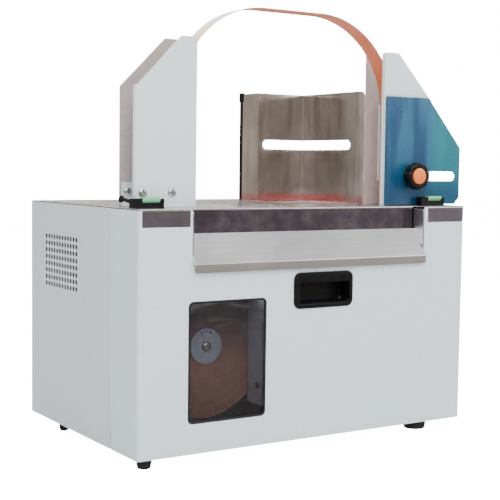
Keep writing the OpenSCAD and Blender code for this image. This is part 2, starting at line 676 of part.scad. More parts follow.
// Forked foot that slides under the clamp knob
module stop_foot() color([0.72, 0.70, 0.70]) difference() {
  blk(88, 150, stop_y1 + stop_t, 338, stop_z0, stop_z0 + 2);
  blk(stop_knob_x - 3.8, stop_knob_x + 3.8, stop_knob_y - stop_travel - 4, 340,
    stop_z0 - 1, stop_z0 + 3);
}
module stop_trim() color([0.06, 0.06, 0.08]) difference() {
  blk(stop_x0 - 2, stop_x0 + stop_t + 2, stop_y1 + return_len - 8, stop_y1 + return_len + 2,
    top + 0.4, stop_z1 + 2);
  blk(stop_x0, stop_x0 + stop_t, stop_y1, stop_y1 + return_len, top, stop_z1);
}
module stop_knob() color([0.05, 0.05, 0.06]) {
  zcyl(3, top - 8, top + 20, stop_knob_x, stop_knob_y);
  difference() {
    zcyl(13, top + 2.4 + gap + 0.3, top + 20, stop_knob_x, stop_knob_y);
    zcyl(3, top + 1, top + 21, stop_knob_x, stop_knob_y);
    for (a = [0:60:300])
      zcyl(3, top, top + 21, stop_knob_x + 14.5 * cos(a), stop_knob_y + 14.5 * sin(a));
  }
}

base_pan();
feet();
inner_frame();
left_side_panel();
right_side_panel();
rear_panel();
table_top();
mechanism_plate();
left_tower_front();
left_tower_rear();
right_tower_front();
right_tower_rear();
tower_bases();
tower_screws();
arch_rails();
arch_guide();
head_frame();
anvil_plate();
clamp_plunger();
cam_shaft();
cam_pulley();
motor_pulley();
drive_belt();
main_motor();
motor_mount();
feed_motor();
feed_roller();
pinch_roller();
guide_pins();
dancer_arm();
dancer_wheel();
reel_spindle();
spindle_screw();
reel_core();
tape_roll();
reel_front_disc();
reel_rear_disc();
control_board();
power_supply();
fan_housing();
fan_rotor();
power_inlet();
switch_frame();
switch_rocker();
latch_bodies();
left_latch_tab();
right_latch_tab();
front_cover();
window_gasket();
window_pane();
pull_handle();
cover_tray();
window_shield();
side_guide();
guide_knob();
guide_knob_cap();
back_stop();
stop_foot();
stop_trim();
stop_knob();
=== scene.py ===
"""Looks for the table-top band strapping machine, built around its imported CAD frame."""

import json
import logging
import math
from dataclasses import dataclass, field
from enum import Enum
from typing import Callable, Sequence

import bmesh
import bpy
import numpy as np
from mathutils import Matrix, Vector
from mathutils.geometry import delaunay_2d_cdt

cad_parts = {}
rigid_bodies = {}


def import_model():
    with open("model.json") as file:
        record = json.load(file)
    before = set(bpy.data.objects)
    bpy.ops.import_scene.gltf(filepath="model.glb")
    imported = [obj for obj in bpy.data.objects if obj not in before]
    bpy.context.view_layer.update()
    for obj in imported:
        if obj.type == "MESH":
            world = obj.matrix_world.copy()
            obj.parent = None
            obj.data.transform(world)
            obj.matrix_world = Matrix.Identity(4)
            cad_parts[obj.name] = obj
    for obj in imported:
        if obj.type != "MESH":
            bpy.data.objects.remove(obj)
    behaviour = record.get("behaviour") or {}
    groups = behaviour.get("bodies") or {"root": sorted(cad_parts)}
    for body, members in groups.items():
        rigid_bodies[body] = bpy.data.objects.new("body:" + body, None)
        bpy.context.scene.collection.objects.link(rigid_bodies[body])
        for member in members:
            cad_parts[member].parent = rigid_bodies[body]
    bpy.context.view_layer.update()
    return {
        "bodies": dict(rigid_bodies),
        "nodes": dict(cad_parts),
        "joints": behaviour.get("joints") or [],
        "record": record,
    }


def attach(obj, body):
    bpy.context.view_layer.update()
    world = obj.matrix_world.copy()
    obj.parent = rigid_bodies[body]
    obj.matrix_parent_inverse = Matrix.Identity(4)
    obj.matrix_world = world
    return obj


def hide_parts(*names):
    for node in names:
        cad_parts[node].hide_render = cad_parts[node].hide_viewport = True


log = logging.getLogger("strapper")

MM = 0.001
CASE_X = -16.5           # middle of the case in the row frame, mm
FRONT_Y = -173.0         # front face of the cover in the row frame, mm
FLOOR_Z = 12.0           # underside of the case
TABLE_Z = 332.0          # upper face of the table
HALF_W = 272.5           # half the width of the case
DEPTH = 352.0            # depth of the case
SHARP = math.radians(38)
WHITE = 16.0             # brightness of the backdrop as the camera sees it

Array = np.ndarray


# ---------------------------------------------------------------- geometry helpers

def loop_rect(x0: float, x1: float, z0: float, z1: float, r: float | Sequence[float],
              seg: int = 6) -> Array:
    """Rectangle with round corners: four quarter circles joined by straight sides.

    Args:
        x0, x1, z0, z1: sides of the rectangle.
        r: corner radius, or four radii from the lower left corner anticlockwise.
        seg: steps in each quarter circle.

    Returns:
        (n, 2) points, anticlockwise.
    """
    radii = np.broadcast_to(np.asarray(r, float), (4,))
    turn = np.linspace(0, math.pi / 2, seg + 1)
    corners = np.array([[x0, z0], [x1, z0], [x1, z1], [x0, z1]])
    inward = np.array([[1, 1], [-1, 1], [-1, -1], [1, -1]])
    start = np.array([math.pi, 1.5 * math.pi, 0, 0.5 * math.pi])
    centre = corners + inward * radii[:, None]
    ang = start[:, None] + turn[None, :]
    pts = centre[:, None, :] + radii[:, None, None] * np.stack([np.cos(ang), np.sin(ang)], -1)
    return tidy_loop(pts.reshape(-1, 2))


def tidy_loop(pts: Array) -> Array:
    """Drops points that repeat the one before them."""
    keep = np.linalg.norm(pts - np.roll(pts, 1, 0), axis=1) > 1e-6
    return pts[keep]


def loop_circle(x: float, z: float, r: float, n: int = 32) -> Array:
    """Circle of n points, anticlockwise: centre plus r times (cos a, sin a)."""
    a = np.linspace(0, 2 * math.pi, n, endpoint=False)
    return np.stack([x + r * np.cos(a), z + r * np.sin(a)], -1)


def round_corners(pts: Array, radii: Sequence[float], seg: int = 5) -> Array:
    """Polygon whose corners are replaced by arcs that touch both of their sides.

    Args:
        pts: (n, 2) corners, anticlockwise.
        radii: one radius for each corner, 0 for a sharp one.
        seg: steps in each arc.

    Returns:
        (m, 2) points.
    """
    pts = np.asarray(pts, float)
    before = np.roll(pts, 1, 0) - pts
    after = np.roll(pts, -1, 0) - pts
    before /= np.linalg.norm(before, axis=1, keepdims=True)
    after /= np.linalg.norm(after, axis=1, keepdims=True)
    half = np.arccos(np.clip((before * after).sum(1), -1, 1)) / 2
    out = []
    for p, b, a, h, r in zip(pts, before, after, half, radii):
        if r <= 0:
            out.append(p[None])
            continue
        reach = r / math.tan(h)
        mid = p + (a + b) / np.linalg.norm(a + b) * r / math.sin(h)
        first = p + b * reach - mid
        last = p + a * reach - mid
        a0 = math.atan2(first[1], first[0])
        sweep = (math.atan2(last[1], last[0]) - a0 + math.pi) % (2 * math.pi) - math.pi
        ang = a0 + sweep * np.linspace(0, 1, seg + 1)
        out.append(mid + r * np.stack([np.cos(ang), np.sin(ang)], -1))
    return tidy_loop(np.concatenate(out))


def signed_area(p: Array) -> float:
    """Twice the shoelace sum, positive for an anticlockwise loop."""
    q = np.roll(p, -1, 0)
    return float((p[:, 0] * q[:, 1] - q[:, 0] * p[:, 1]).sum())


def split_at(p: Array, cuts: Array) -> Array:
    """Adds a point wherever a side of the loop crosses one of the lines u = cut."""
    q = np.roll(p, -1, 0)
    du = q[:, 0] - p[:, 0]
    with np.errstate(divide="ignore", invalid="ignore"):
        t = (cuts[None, :] - p[:, :1]) / du[:, None]
    i, j = np.nonzero((np.abs(du)[:, None] > 1e-9) & (t > 1e-5) & (t < 1 - 1e-5))
    place = np.concatenate([np.arange(len(p)), i + t[i, j]])
    place = np.sort(place)
    k = np.floor(place).astype(int)
    f = (place - k)[:, None]
    return p[k] * (1 - f) + q[k] * f


def inset(p: Array, d: float) -> Array:
    """Moves each point of a loop to its left by d, along the mitre of its two sides."""
    along = np.roll(p, -1, 0) - p
    along /= np.linalg.norm(along, axis=1, keepdims=True)
    left = np.stack([-along[:, 1], along[:, 0]], -1)
    both = left + np.roll(left, 1, 0)
    both /= np.maximum(np.linalg.norm(both, axis=1, keepdims=True), 1e-9)
    cosine = np.maximum((both * left).sum(1), 0.6)
    return p + both * (d / cosine)[:, None]


def inside(pts: Array, loops: Sequence[Array]) -> Array:
    """Even-odd test: a point is inside when a ray to the right crosses the loops an odd number of times."""
    a = np.concatenate(loops)
    b = np.concatenate([np.roll(p, -1, 0) for p in loops])
    y = pts[:, 1][:, None]
    straddle = (a[None, :, 1] > y) != (b[None, :, 1] > y)
    with np.errstate(divide="ignore", invalid="ignore"):
        x = a[:, 0] + (y - a[:, 1]) * (b[:, 0] - a[:, 0]) / (b[:, 1] - a[:, 1])
    return (np.where(straddle, x > pts[:, 0][:, None], False).sum(1) % 2) == 1


def line_pieces(loops: Sequence[Array], cut: float, margin: float) -> Array:
    """The stretches of the line u = cut that lie in the material, each shortened by margin."""
    p = np.concatenate(loops)
    q = np.concatenate([np.roll(a, -1, 0) for a in loops])
    hit = (p[:, 0] > cut) != (q[:, 0] > cut)
    t = (cut - p[hit, 0]) / (q[hit, 0] - p[hit, 0])
    v = np.sort(p[hit, 1] + t * (q[hit, 1] - p[hit, 1]))
    ends = v[:len(v) // 2 * 2].reshape(-1, 2) + np.array([margin, -margin])
    ends = ends[ends[:, 1] - ends[:, 0] > margin]
    return np.stack([np.full_like(ends, cut), ends], -1)


Solid = tuple[Array, list]


def plate(loops: Sequence[Array], thick: float, edge: float = 0.4, cuts: Sequence[float] = (),
          steps: int = 3) -> Solid:
    """Flat sheet with round edges, in its own (u, v, w) space.

    Each loop is carried through the thickness along a profile of two quarter circles of
    radius edge joined by a straight line, and the two faces are triangulated between the loops.

    Args:
        loops: the outline and then the holes.
        thick: thickness along w, centred on 0.
        edge: radius of the round edges.
        cuts: values of u where the sheet will be bent.
        steps: steps in each quarter circle.

    Returns:
        Points (n, 3) and faces.
    """
    bends = np.asarray(sorted(cuts), float)
    turned = [p if (signed_area(p) > 0) == (i == 0) else p[::-1] for i, p in enumerate(loops)]
    turned = [split_at(p, bends) if len(bends) else p for p in turned]
    a = np.linspace(0, math.pi / 2, steps + 1)
    depth = np.concatenate([edge * (1 - np.sin(a)), edge * (1 - np.sin(a))[::-1]])
    level = np.concatenate([edge * (1 - np.cos(a)), thick - edge * (1 - np.cos(a))[::-1]]) - thick / 2
    sizes = [len(p) for p in turned]
    total = sum(sizes)
    rings = [np.concatenate([inset(p, d) for p in turned]) for d in depth]
    verts = np.concatenate([np.column_stack([r, np.full(total, w)]) for r, w in zip(rings, level)])
    nxt = np.concatenate([s + np.roll(np.arange(n), -1) for n, s in
                          zip(sizes, np.cumsum([0] + sizes[:-1]))])
    here = np.arange(total)
    walls = np.concatenate([np.stack([here + k * total, nxt + k * total,
                                      nxt + (k + 1) * total, here + (k + 1) * total], -1)
                            for k in range(len(depth) - 1)])
    cap_loops = np.split(rings[0], np.cumsum(sizes)[:-1])
    pieces = [line_pieces(cap_loops, c, 0.35) for c in bends]
    crossed = len(bends) and sum(map(len, pieces))
    extra = np.concatenate(pieces).reshape(-1, 2) if crossed else np.zeros((0, 2))
    points = np.concatenate([rings[0], extra])
    edges = [(int(i), int(j)) for i, j in zip(here, nxt)]
    edges += [(total + i, total + i + 1) for i in range(0, len(extra), 2)]
    out, _, tris, origin, _, _ = delaunay_2d_cdt([Vector(p) for p in points.tolist()], edges, [], 0, 1e-6)
    flat = np.array([list(v) for v in out])
    tri = np.array([t for t in tris if len(t) == 3])
    tri = tri[inside(flat[tri].mean(1), cap_loops)]
    source = np.array([o[0] if len(o) else -1 for o in origin])
    fresh = np.nonzero((source < 0) | (source >= total))[0]
    low = np.where((source >= 0) & (source < total), source, 0)
    high = low + (len(depth) - 1) * total
    low[fresh] = len(verts) + np.arange(len(fresh))
    high[fresh] = len(verts) + len(fresh) + np.arange(len(fresh))
    verts = np.concatenate([verts] + [np.column_stack([flat[fresh], np.full(len(fresh), w)])
                                      for w in (level[0], level[-1])])
    return verts, walls.tolist() + low[tri][:, ::-1].tolist() + high[tri].tolist()


@dataclass
class Fold:
    """Bent line of a folded sheet: straight stretches joined by arcs of one radius."""

    corners: Sequence[tuple[float, float]]
    radius: float
    steps: int = 6
    s: Array = field(init=False)
    pos: Array = field(init=False)
    angle: Array = field(init=False)
    bends: list = field(init=False, default_factory=list)

    def __post_init__(self) -> None:
        """Walks along the corners and stores length, place and direction at each step."""
        p = np.asarray(self.corners, float)
        d = np.diff(p, axis=0)
        head = np.unwrap(np.arctan2(d[:, 1], d[:, 0]))
        s, pos, ang = [0.0], [p[0]], [head[0]]
        for i in range(1, len(p) - 1):
            turn = head[i] - head[i - 1]
            reach = self.radius * math.tan(abs(turn) / 2)
            t0 = np.array([math.cos(head[i - 1]), math.sin(head[i - 1])])
            begin = p[i] - t0 * reach
            side = math.copysign(1, turn)
            centre = begin + side * self.radius * np.array([-t0[1], t0[0]])
            s.append(s[-1] + float(np.linalg.norm(begin - pos[-1])))
            pos.append(begin)
            ang.append(head[i - 1])
            self.bends.append(s[-1])
            for f in np.linspace(0, 1, self.steps + 1)[1:]:
                a = head[i - 1] + turn * f
                n = np.array([-math.sin(a), math.cos(a)])
                s.append(self.bends[-1] + abs(turn) * self.radius / self.steps)
                pos.append(centre - side * self.radius * n)
                ang.append(a)
                self.bends.append(s[-1])
        s.append(s[-1] + float(np.linalg.norm(p[-1] - pos[-1])))
        pos.append(p[-1])
        ang.append(head[-1])
        self.s, self.pos, self.angle = np.array(s), np.array(pos), np.array(ang)

    @property
    def length(self) -> float:
        """Length of the whole bent line."""
        return float(self.s[-1])

    def place(self, u: Array, w: Array) -> Array:
        """Point at length u along the line, w to its left: the line's point plus w times its normal."""
        a = np.interp(u, self.s, self.angle)
        x = np.interp(u, self.s, self.pos[:, 0]) - np.sin(a) * w
        y = np.interp(u, self.s, self.pos[:, 1]) + np.cos(a) * w
        return np.stack([x, y], -1)

    def at(self, x: float | None = None, y: float | None = None) -> float:
        """Length along the line where it first reaches that x or that y."""
        col, value = (0, x) if x is not None else (1, y)
        c = self.pos[:, col] - value
        i = int(np.nonzero(c[:-1] * c[1:] <= 0)[0][0])
        f = c[i] / (c[i] - c[i + 1]) if c[i] != c[i + 1] else 0.0
        return float(self.s[i] + f * (self.s[i + 1] - self.s[i]))


def fold_plan(solid: Solid, fold: Fold) -> Solid:
    """Folds a flat sheet around vertical bends: u goes along the line in X and Y, v becomes Z."""
    v, f = solid
    xy = fold.place(v[:, 0], v[:, 2])
    return np.column_stack([xy, v[:, 1]]), f


def fold_side(solid: Solid, fold: Fold) -> Solid:
    """Folds a flat sheet around level bends: u goes along the line in Y and Z, v becomes X."""
    v, f = solid
    yz = fold.place(v[:, 0], v[:, 2])
    return np.column_stack([v[:, 1], yz]), f


def stand_front(solid: Solid, y: float) -> Solid:
    """Stands a flat sheet up in X and Z, its middle at depth y."""
    v, f = solid
    return np.column_stack([v[:, 0], y + v[:, 2], v[:, 1]]), f


def stand_side(solid: Solid, x: float) -> Solid:
    """Stands a flat sheet up in Y and Z, its middle at x."""
    v, f = solid
    return np.column_stack([x + v[:, 2], v[:, 0], v[:, 1]]), f


def loft(rings: Array, cap0: bool = True, cap1: bool = True, ring_loop: bool = False) -> Solid:
    """Skin over a stack of rings with the same number of points.

    Args:
        rings: (k, n, 3) points.
        cap0, cap1: whether the first and last ring are closed by a flat face.
        ring_loop: whether the last ring joins the first.

    Returns:
        Points and faces.
    """
    k, n = rings.shape[:2]
    i, j = np.meshgrid(np.arange(k if ring_loop else k - 1), np.arange(n), indexing="ij")
    a, b = i * n + j, i * n + (j + 1) % n
    up = ((i + 1) % k) * n
    faces = np.stack([a, b, up + (j + 1) % n, up + j], -1).reshape(-1, 4).tolist()
    faces += [list(range(n))[::-1]] if cap0 and not ring_loop else []
    faces += [list(range((k - 1) * n, k * n))] if cap1 and not ring_loop else []
    return rings.reshape(-1, 3), faces


class Axis(Enum):
    """Direction that a turned piece's height points in, as three columns for (a, b, height)."""

    FRONT = ((1, 0, 0), (0, 0, 1), (0, -1, 0))
    BACK = ((1, 0, 0), (0, 0, 1), (0, 1, 0))
    LEFT = ((0, 1, 0), (0, 0, 1), (-1, 0, 0))
    RIGHT = ((0, 1, 0), (0, 0, 1), (1, 0, 0))
    UP = ((1, 0, 0), (0, 1, 0), (0, 0, 1))


def turned(profile: Sequence[tuple[float, float]], centre: Sequence[float], axis: Axis, n: int = 48,
           shape: Callable[[Array, Array, Array], tuple[Array, Array]] | None = None) -> Solid:
    """Surface of revolution: each (radius, height) of the profile goes round the axis.

    Args:
        profile: (radius, height) pairs from one pole to the other.
        centre: point where the height is 0.
        axis: direction of the height.
        n: points round the axis.
        shape: optional change of (radius, height) as a function of radius, height and angle.

    Returns:
        Points and faces; poles are merged later.
    """
    p = np.asarray(profile, float)
    a = np.linspace(0, 2 * math.pi, n, endpoint=False)
    r = np.repeat(p[:, :1], n, 1)
    h = np.repeat(p[:, 1:], n, 1)
    if shape:
        r, h = shape(r, h, a[None, :])
    local = np.stack([r * np.cos(a), r * np.sin(a), h], -1)
    return loft(np.asarray(centre, float) + local @ np.array(axis.value, float), p[0, 0] > 0, p[-1, 0] > 0)


def cross_recess(width: float, reach: float, depth: float) -> Callable:
    """Cross-head recess: the height drops by depth where |a| or |b| is under half the width, within reach."""
    def shape(r: Array, h: Array, a: Array) -> tuple[Array, Array]:
        """Lowers the head's height inside the cross."""
        off = np.minimum(np.abs(r * np.cos(a)), np.abs(r * np.sin(a)))
        cut = np.clip((width / 2 - off) / 0.25 + 0.5, 0, 1) * np.clip((reach - r) / 0.5 + 0.5, 0, 1)
        return r, np.where(h > 0.9, h - depth * cut, h)
    return shape


def pan_head(r: float, h: float, centre: Sequence[float], axis: Axis, shank: float = 2.0) -> Solid:
    """Pan-head screw: a dome whose height falls with the fourth power of the radius, with a cross recess."""
    f = np.linspace(1, 0, 22)
    dome = np.column_stack([r * f, h * (0.35 + 0.65 * (1 - f ** 4))])
    rim = [(0, -shank), (0.42 * r, -shank), (0.42 * r, 0), (r * 0.96, 0), (r, 0.12 * h)]
    return turned(rim + dome.tolist(), centre, axis, 48, cross_recess(0.2 * r, 0.6 * r, 0.45 * h))


def merge(*solids: Solid) -> Solid:
    """Puts several solids into one list of points and faces."""
    verts, faces, base = [], [], 0
    for v, f in solids:
        verts.append(v)
        faces += [[i + base for i in face] for face in f]
        base += len(v)
    return np.concatenate(verts), faces


# ---------------------------------------------------------------- node groups and finishes

def linear(rgb: Sequence[float]) -> tuple[float, float, float, float]:
    """8-bit display colour as the linear colour that a shader takes."""
    c = np.asarray(rgb, float) / 255
    lin = np.where(c <= 0.04045, c / 12.92, ((c + 0.055) / 1.055) ** 2.4)
    return (*lin.tolist(), 1.0)


class Net:
    """Short way to place and join nodes in one tree."""

    def __init__(self, tree: bpy.types.NodeTree, owner: bpy.types.Material | None = None) -> None:
        """Keeps the tree and the material that it belongs to."""
        self.tree = tree
        self.owner = owner

    def put(self, kind: str, **values: object) -> bpy.types.Node:
        """Adds a node; a value whose name is a property sets it, any other sets or joins an input."""
        node = self.tree.nodes.new(kind)
        inputs = {k: v for k, v in values.items() if k.startswith("i_")}
        for key, value in values.items():
            if not key.startswith("i_"):
                setattr(node, key, value)
        for key, value in inputs.items():
            name = key[2:]
            socket = node.inputs[int(name)] if name.isdigit() else node.inputs[name.replace("_", " ")]
            self.feed(socket, value)
        return node

    def feed(self, socket: bpy.types.NodeSocket, value: object) -> None:
        """Joins an output to the socket, or sets the socket's own value."""
        if isinstance(value, bpy.types.NodeSocket):
            self.tree.links.new(value, socket)
        else:
            socket.default_value = value

    def here(self) -> bpy.types.NodeSocket:
        """The point on the object."""
        return self.put("ShaderNodeTexCoord").outputs["Object"]

    def noise(self, at: object, scale: object, detail: float = 2.0, **more: object) -> bpy.types.NodeSocket:
        """Noise at a point, from 0 to 1."""
        return self.put("ShaderNodeTexNoise", i_Vector=at, i_Scale=scale, i_Detail=detail, **more).outputs[0]

    def axis(self, at: object, number: int) -> bpy.types.NodeSocket:
        """One part of a vector: 0 for X, 1 for Y, 2 for Z."""
        return self.put("ShaderNodeSeparateXYZ", i_0=at).outputs[number]

    def scaled(self, at: object, by: object) -> bpy.types.NodeSocket:
        """A point with each part multiplied."""
        return self.put("ShaderNodeVectorMath", operation="MULTIPLY", i_0=at, i_1=by).outputs[0]

    def math(self, op: str, a: object, b: object = 0.0, clamp: bool = False) -> bpy.types.NodeSocket:
        """One step of arithmetic."""
        return self.put("ShaderNodeMath", operation=op, use_clamp=clamp, i_0=a, i_1=b).outputs[0]

    def mix(self, fac: object, a: object, b: object, blend: str = "MIX") -> bpy.types.NodeSocket:
        """Mixes two colours."""
        node = self.put("ShaderNodeMix", data_type="RGBA", blend_type=blend)
        self.feed(node.inputs[0], fac)
        self.feed(node.inputs[6], a)
        self.feed(node.inputs[7], b)
        return node.outputs[2]

    def span(self, value: object, lo: float, hi: float, out0: float = 0.0, out1: float = 1.0,
             smooth: bool = False) -> bpy.types.NodeSocket:
        """Maps a range to another, clamped."""
        node = self.put("ShaderNodeMapRange", interpolation_type="SMOOTHSTEP" if smooth else "LINEAR",
                        i_0=value, i_1=lo, i_2=hi, i_3=out0, i_4=out1)
        return node.outputs[0]


def new_group(name: str, inputs: dict[str, object], outputs: dict[str, str]) -> tuple[Net, dict,
                                                                                      bpy.types.Node]:
    """Empty node group with named sockets.

    Args:
        name: the group's name.
        inputs: default of each input; three or four numbers make a vector or a colour.
        outputs: socket type of each output.

    Returns:
        The net, its input sockets by name, and the output node.
    """
    tree = bpy.data.node_groups.new(name, "ShaderNodeTree")
    for key, value in inputs.items():
        kind = "NodeSocketFloat" if isinstance(value, float) else "NodeSocketVector"
        tree.interface.new_socket(key, in_out="INPUT", socket_type=kind).default_value = value
    for key, kind in outputs.items():
        tree.interface.new_socket(key, in_out="OUTPUT", socket_type=kind)
    net = Net(tree)
    ins = net.put("NodeGroupInput")
    return net, {s.name: s for s in ins.outputs}, net.put("NodeGroupOutput")


class Effects:
    """The shared surface effects, each one a node group."""

    def __init__(self) -> None:
        """Builds the groups once."""
        self.grain = self._grain()
        self.brush = self._brush()
        self.smudge = self._smudge()
        self.wear = self._wear()

    def _grain(self) -> bpy.types.NodeTree:
        """Fine two-scale noise: paint texture, moulded grain or fibres, as a height and a mask."""
        net, i, out = new_group("fine_grain", {"Stretch": (1.0, 1.0, 1.0), "Scale": 600.0, "Detail": 3.0},
                                {"Height": "NodeSocketFloat", "Mask": "NodeSocketFloat"})
        co = net.scaled(net.here(), i["Stretch"])
        fine = net.noise(co, i["Scale"], i["Detail"])
        wide = net.noise(co, net.math("MULTIPLY", i["Scale"], 0.13))
        net.feed(out.inputs["Height"], net.math("ADD", fine, net.math("MULTIPLY", wide, 0.6)))
        net.feed(out.inputs["Mask"], net.span(wide, 0.35, 0.65))
        return net.tree

    def _brush(self) -> bpy.types.NodeTree:
        """Rolled or brushed metal: noise drawn out along one direction, as a height and a mask."""
        net, i, out = new_group("brushed_lines", {"Stretch": (1.0, 40.0, 40.0), "Scale": 30.0},
                                {"Height": "NodeSocketFloat", "Mask": "NodeSocketFloat"})
        co = net.scaled(net.here(), i["Stretch"])
        fine = net.noise(co, i["Scale"], 5.0, i_Roughness=0.7)
        net.feed(out.inputs["Height"], fine)
        net.feed(out.inputs["Mask"], net.span(fine, 0.4, 0.62))
        return net.tree

    def _smudge(self) -> bpy.types.NodeTree:
        """Handling marks and dust: broad warped noise, as a mask from 0, clean, to 1."""
        net, i, out = new_group("handling_marks", {"Scale": 9.0, "Amount": 1.0},
                                {"Mask": "NodeSocketFloat", "Speck": "NodeSocketFloat"})
        co = net.here()
        broad = net.noise(co, i["Scale"], 6.0, i_Roughness=0.62, i_Distortion=1.4)
        fine = net.noise(co, net.math("MULTIPLY", i["Scale"], 45.0))
        net.feed(out.inputs["Mask"], net.math("MULTIPLY", net.span(broad, 0.42, 0.68, smooth=True),
                                              i["Amount"]))
        net.feed(out.inputs["Speck"], net.math("MULTIPLY", net.span(fine, 0.66, 0.74), i["Amount"]))
        return net.tree

    def _wear(self) -> bpy.types.NodeTree:
        """Edge wear: how far a rounded normal differs from the real one, broken up by noise."""
        net, i, out = new_group("edge_wear", {"Radius": 0.001, "Amount": 0.5}, {"Mask": "NodeSocketFloat"})
        soft = net.put("ShaderNodeBevel", samples=4, i_Radius=i["Radius"]).outputs[0]
        hard = net.put("ShaderNodeNewGeometry").outputs["Normal"]
        dot = net.put("ShaderNodeVectorMath", operation="DOT_PRODUCT", i_0=soft, i_1=hard).outputs["Value"]
        co = net.here()
        rough = net.noise(co, 160.0, 3.0)
        edge = net.span(net.math("SUBTRACT", 1.0, dot), 0.03, 0.3)
        net.feed(out.inputs["Mask"], net.math("MULTIPLY",
                                              net.math("MULTIPLY", edge, net.span(rough, 0.35, 0.6)),
                                              i["Amount"], clamp=True))
        return net.tree


class Grain(Enum):
    """Which fine structure a finish has."""

    SPECKLE = "grain"
    LINES = "brush"


@dataclass(frozen=True)
class Finish:
    """One surface finish and the recipe for its material."""

    name: str
    color: tuple[int, int, int]
    second: tuple[int, int, int]
    rough: float
    metal: float = 0.0
    grain: Grain = Grain.SPECKLE
    scale: float = 900.0
    stretch: tuple[float, float, float] = (1.0, 1.0, 1.0)
    bump: float = 0.05
    depth: float = 0.0002
    rough_spread: float = 0.1
    smudge: float = 0.3
    smudge_scale: float = 9.0
    worn: tuple[int, int, int] = (225, 228, 230)
    wear: float = 0.0
    coat: float = 0.0
    coat_rough: float = 0.1
    sheen: float = 0.0
    alpha: float = 1.0
    specular: float = 0.5

    def material(self, fx: Effects) -> bpy.types.Material:
        """Builds the material: two tones mixed by grain, smudged roughness, worn edges and a bump."""
        net, bsdf, color, rough, height = self.base(fx)
        return self.close(fx, net, bsdf, color, rough, height)

    def base(self, fx: Effects) -> tuple:
        """Places the shader and the grain, and returns the sockets that the rest builds on."""
        mat = bpy.data.materials.new(self.name)
        mat.use_nodes = True
        mat.node_tree.nodes.clear()
        net = Net(mat.node_tree, mat)
        bsdf = net.put("ShaderNodeBsdfPrincipled")
        for socket, value in (("Metallic", self.metal), ("Coat Weight", self.coat), ("Alpha", self.alpha),
                              ("Coat Roughness", self.coat_rough), ("Sheen Weight", self.sheen),
                              ("Specular IOR Level", self.specular)):
            bsdf.inputs[socket].default_value = value
        group = net.put("ShaderNodeGroup", node_tree=getattr(fx, self.grain.value))
        group.inputs["Stretch"].default_value = self.stretch
        group.inputs["Scale"].default_value = self.scale
        marks = net.put("ShaderNodeGroup", node_tree=fx.smudge)
        marks.inputs["Scale"].default_value = self.smudge_scale
        marks.inputs["Amount"].default_value = self.smudge
        color = net.mix(group.outputs["Mask"], linear(self.color), linear(self.second))
        color = net.mix(net.math("MULTIPLY", marks.outputs["Mask"], 0.25), color, linear(self.second))
        color = net.mix(net.math("MULTIPLY", marks.outputs["Speck"], 0.2), color, linear(self.worn))
        spread = net.math("MULTIPLY", marks.outputs["Mask"], self.rough_spread)
        fine = net.math("MULTIPLY", group.outputs["Mask"], self.rough_spread * 0.4)
        rough = net.math("ADD", net.math("ADD", spread, fine), self.rough, clamp=True)
        return net, bsdf, color, rough, group.outputs["Height"]

    def close(self, fx: Effects, net: Net, bsdf: bpy.types.Node, color: object, rough: object,
              height: object) -> bpy.types.Material:
        """Adds the worn edges and the bump and joins everything to the output."""
        if self.wear > 0:
            edge = net.put("ShaderNodeGroup", node_tree=fx.wear)
            edge.inputs["Radius"].default_value = 0.0009
            edge.inputs["Amount"].default_value = self.wear
            color = net.mix(edge.outputs["Mask"], color, linear(self.worn))
        net.feed(bsdf.inputs["Base Color"], color)
        net.feed(bsdf.inputs["Roughness"], rough)
        bump = net.put("ShaderNodeBump", i_Strength=self.bump, i_Distance=self.depth, i_Height=height)
        net.feed(bsdf.inputs["Normal"], bump.outputs[0])
        out = net.put("ShaderNodeOutputMaterial")
        net.tree.links.new(bsdf.outputs[0], out.inputs[0])
        return net.owner


@dataclass(frozen=True)
class MirrorSheet(Finish):
    """Polished stainless with painted reflections: soft dark patches, warm upright streaks and red just above
    the table.
    """

    painted_reflection_patch: tuple[int, int, int] = (208, 200, 194)
    streak: tuple[int, int, int] = (178, 162, 152)
    painted_red_reflection: tuple[int, int, int] = (226, 120, 124)
    painted_reflection_z: float = 0.334
    painted_reflection_h: float = 0.016

    def material(self, fx: Effects) -> bpy.types.Material:
        """Mirror steel with painted reflections in its colour: dark patches, warm streaks and red at its
        foot.
        """
        net, bsdf, color, rough, height = self.base(fx)
        co = net.here()
        # painted reflection: broad dark patches of the surroundings mixed into the colour
        painted_reflection_patch = net.noise(co, 9.0, i_Distortion=0.5)
        color = net.mix(net.span(painted_reflection_patch, 0.4, 0.62, smooth=True), color, linear(self.painted_reflection_patch))
        tall = net.scaled(co, (1.0, 1.0, 0.12))
        # painted reflection: warm upright streaks mixed into the colour
        streak = net.noise(tall, 60.0)
        color = net.mix(net.span(streak, 0.5, 0.7, 0.0, 0.5, smooth=True), color, linear(self.streak))
        z = net.axis(co, 2)
        # painted red reflection in the lowest 16 mm above the table, on every piece with this finish
        near = net.span(z, self.painted_reflection_z, self.painted_reflection_z + self.painted_reflection_h, 0.65, 0.0, smooth=True)
        color = net.mix(near, color, linear(self.painted_red_reflection))
        return self.close(fx, net, bsdf, color, rough, height)


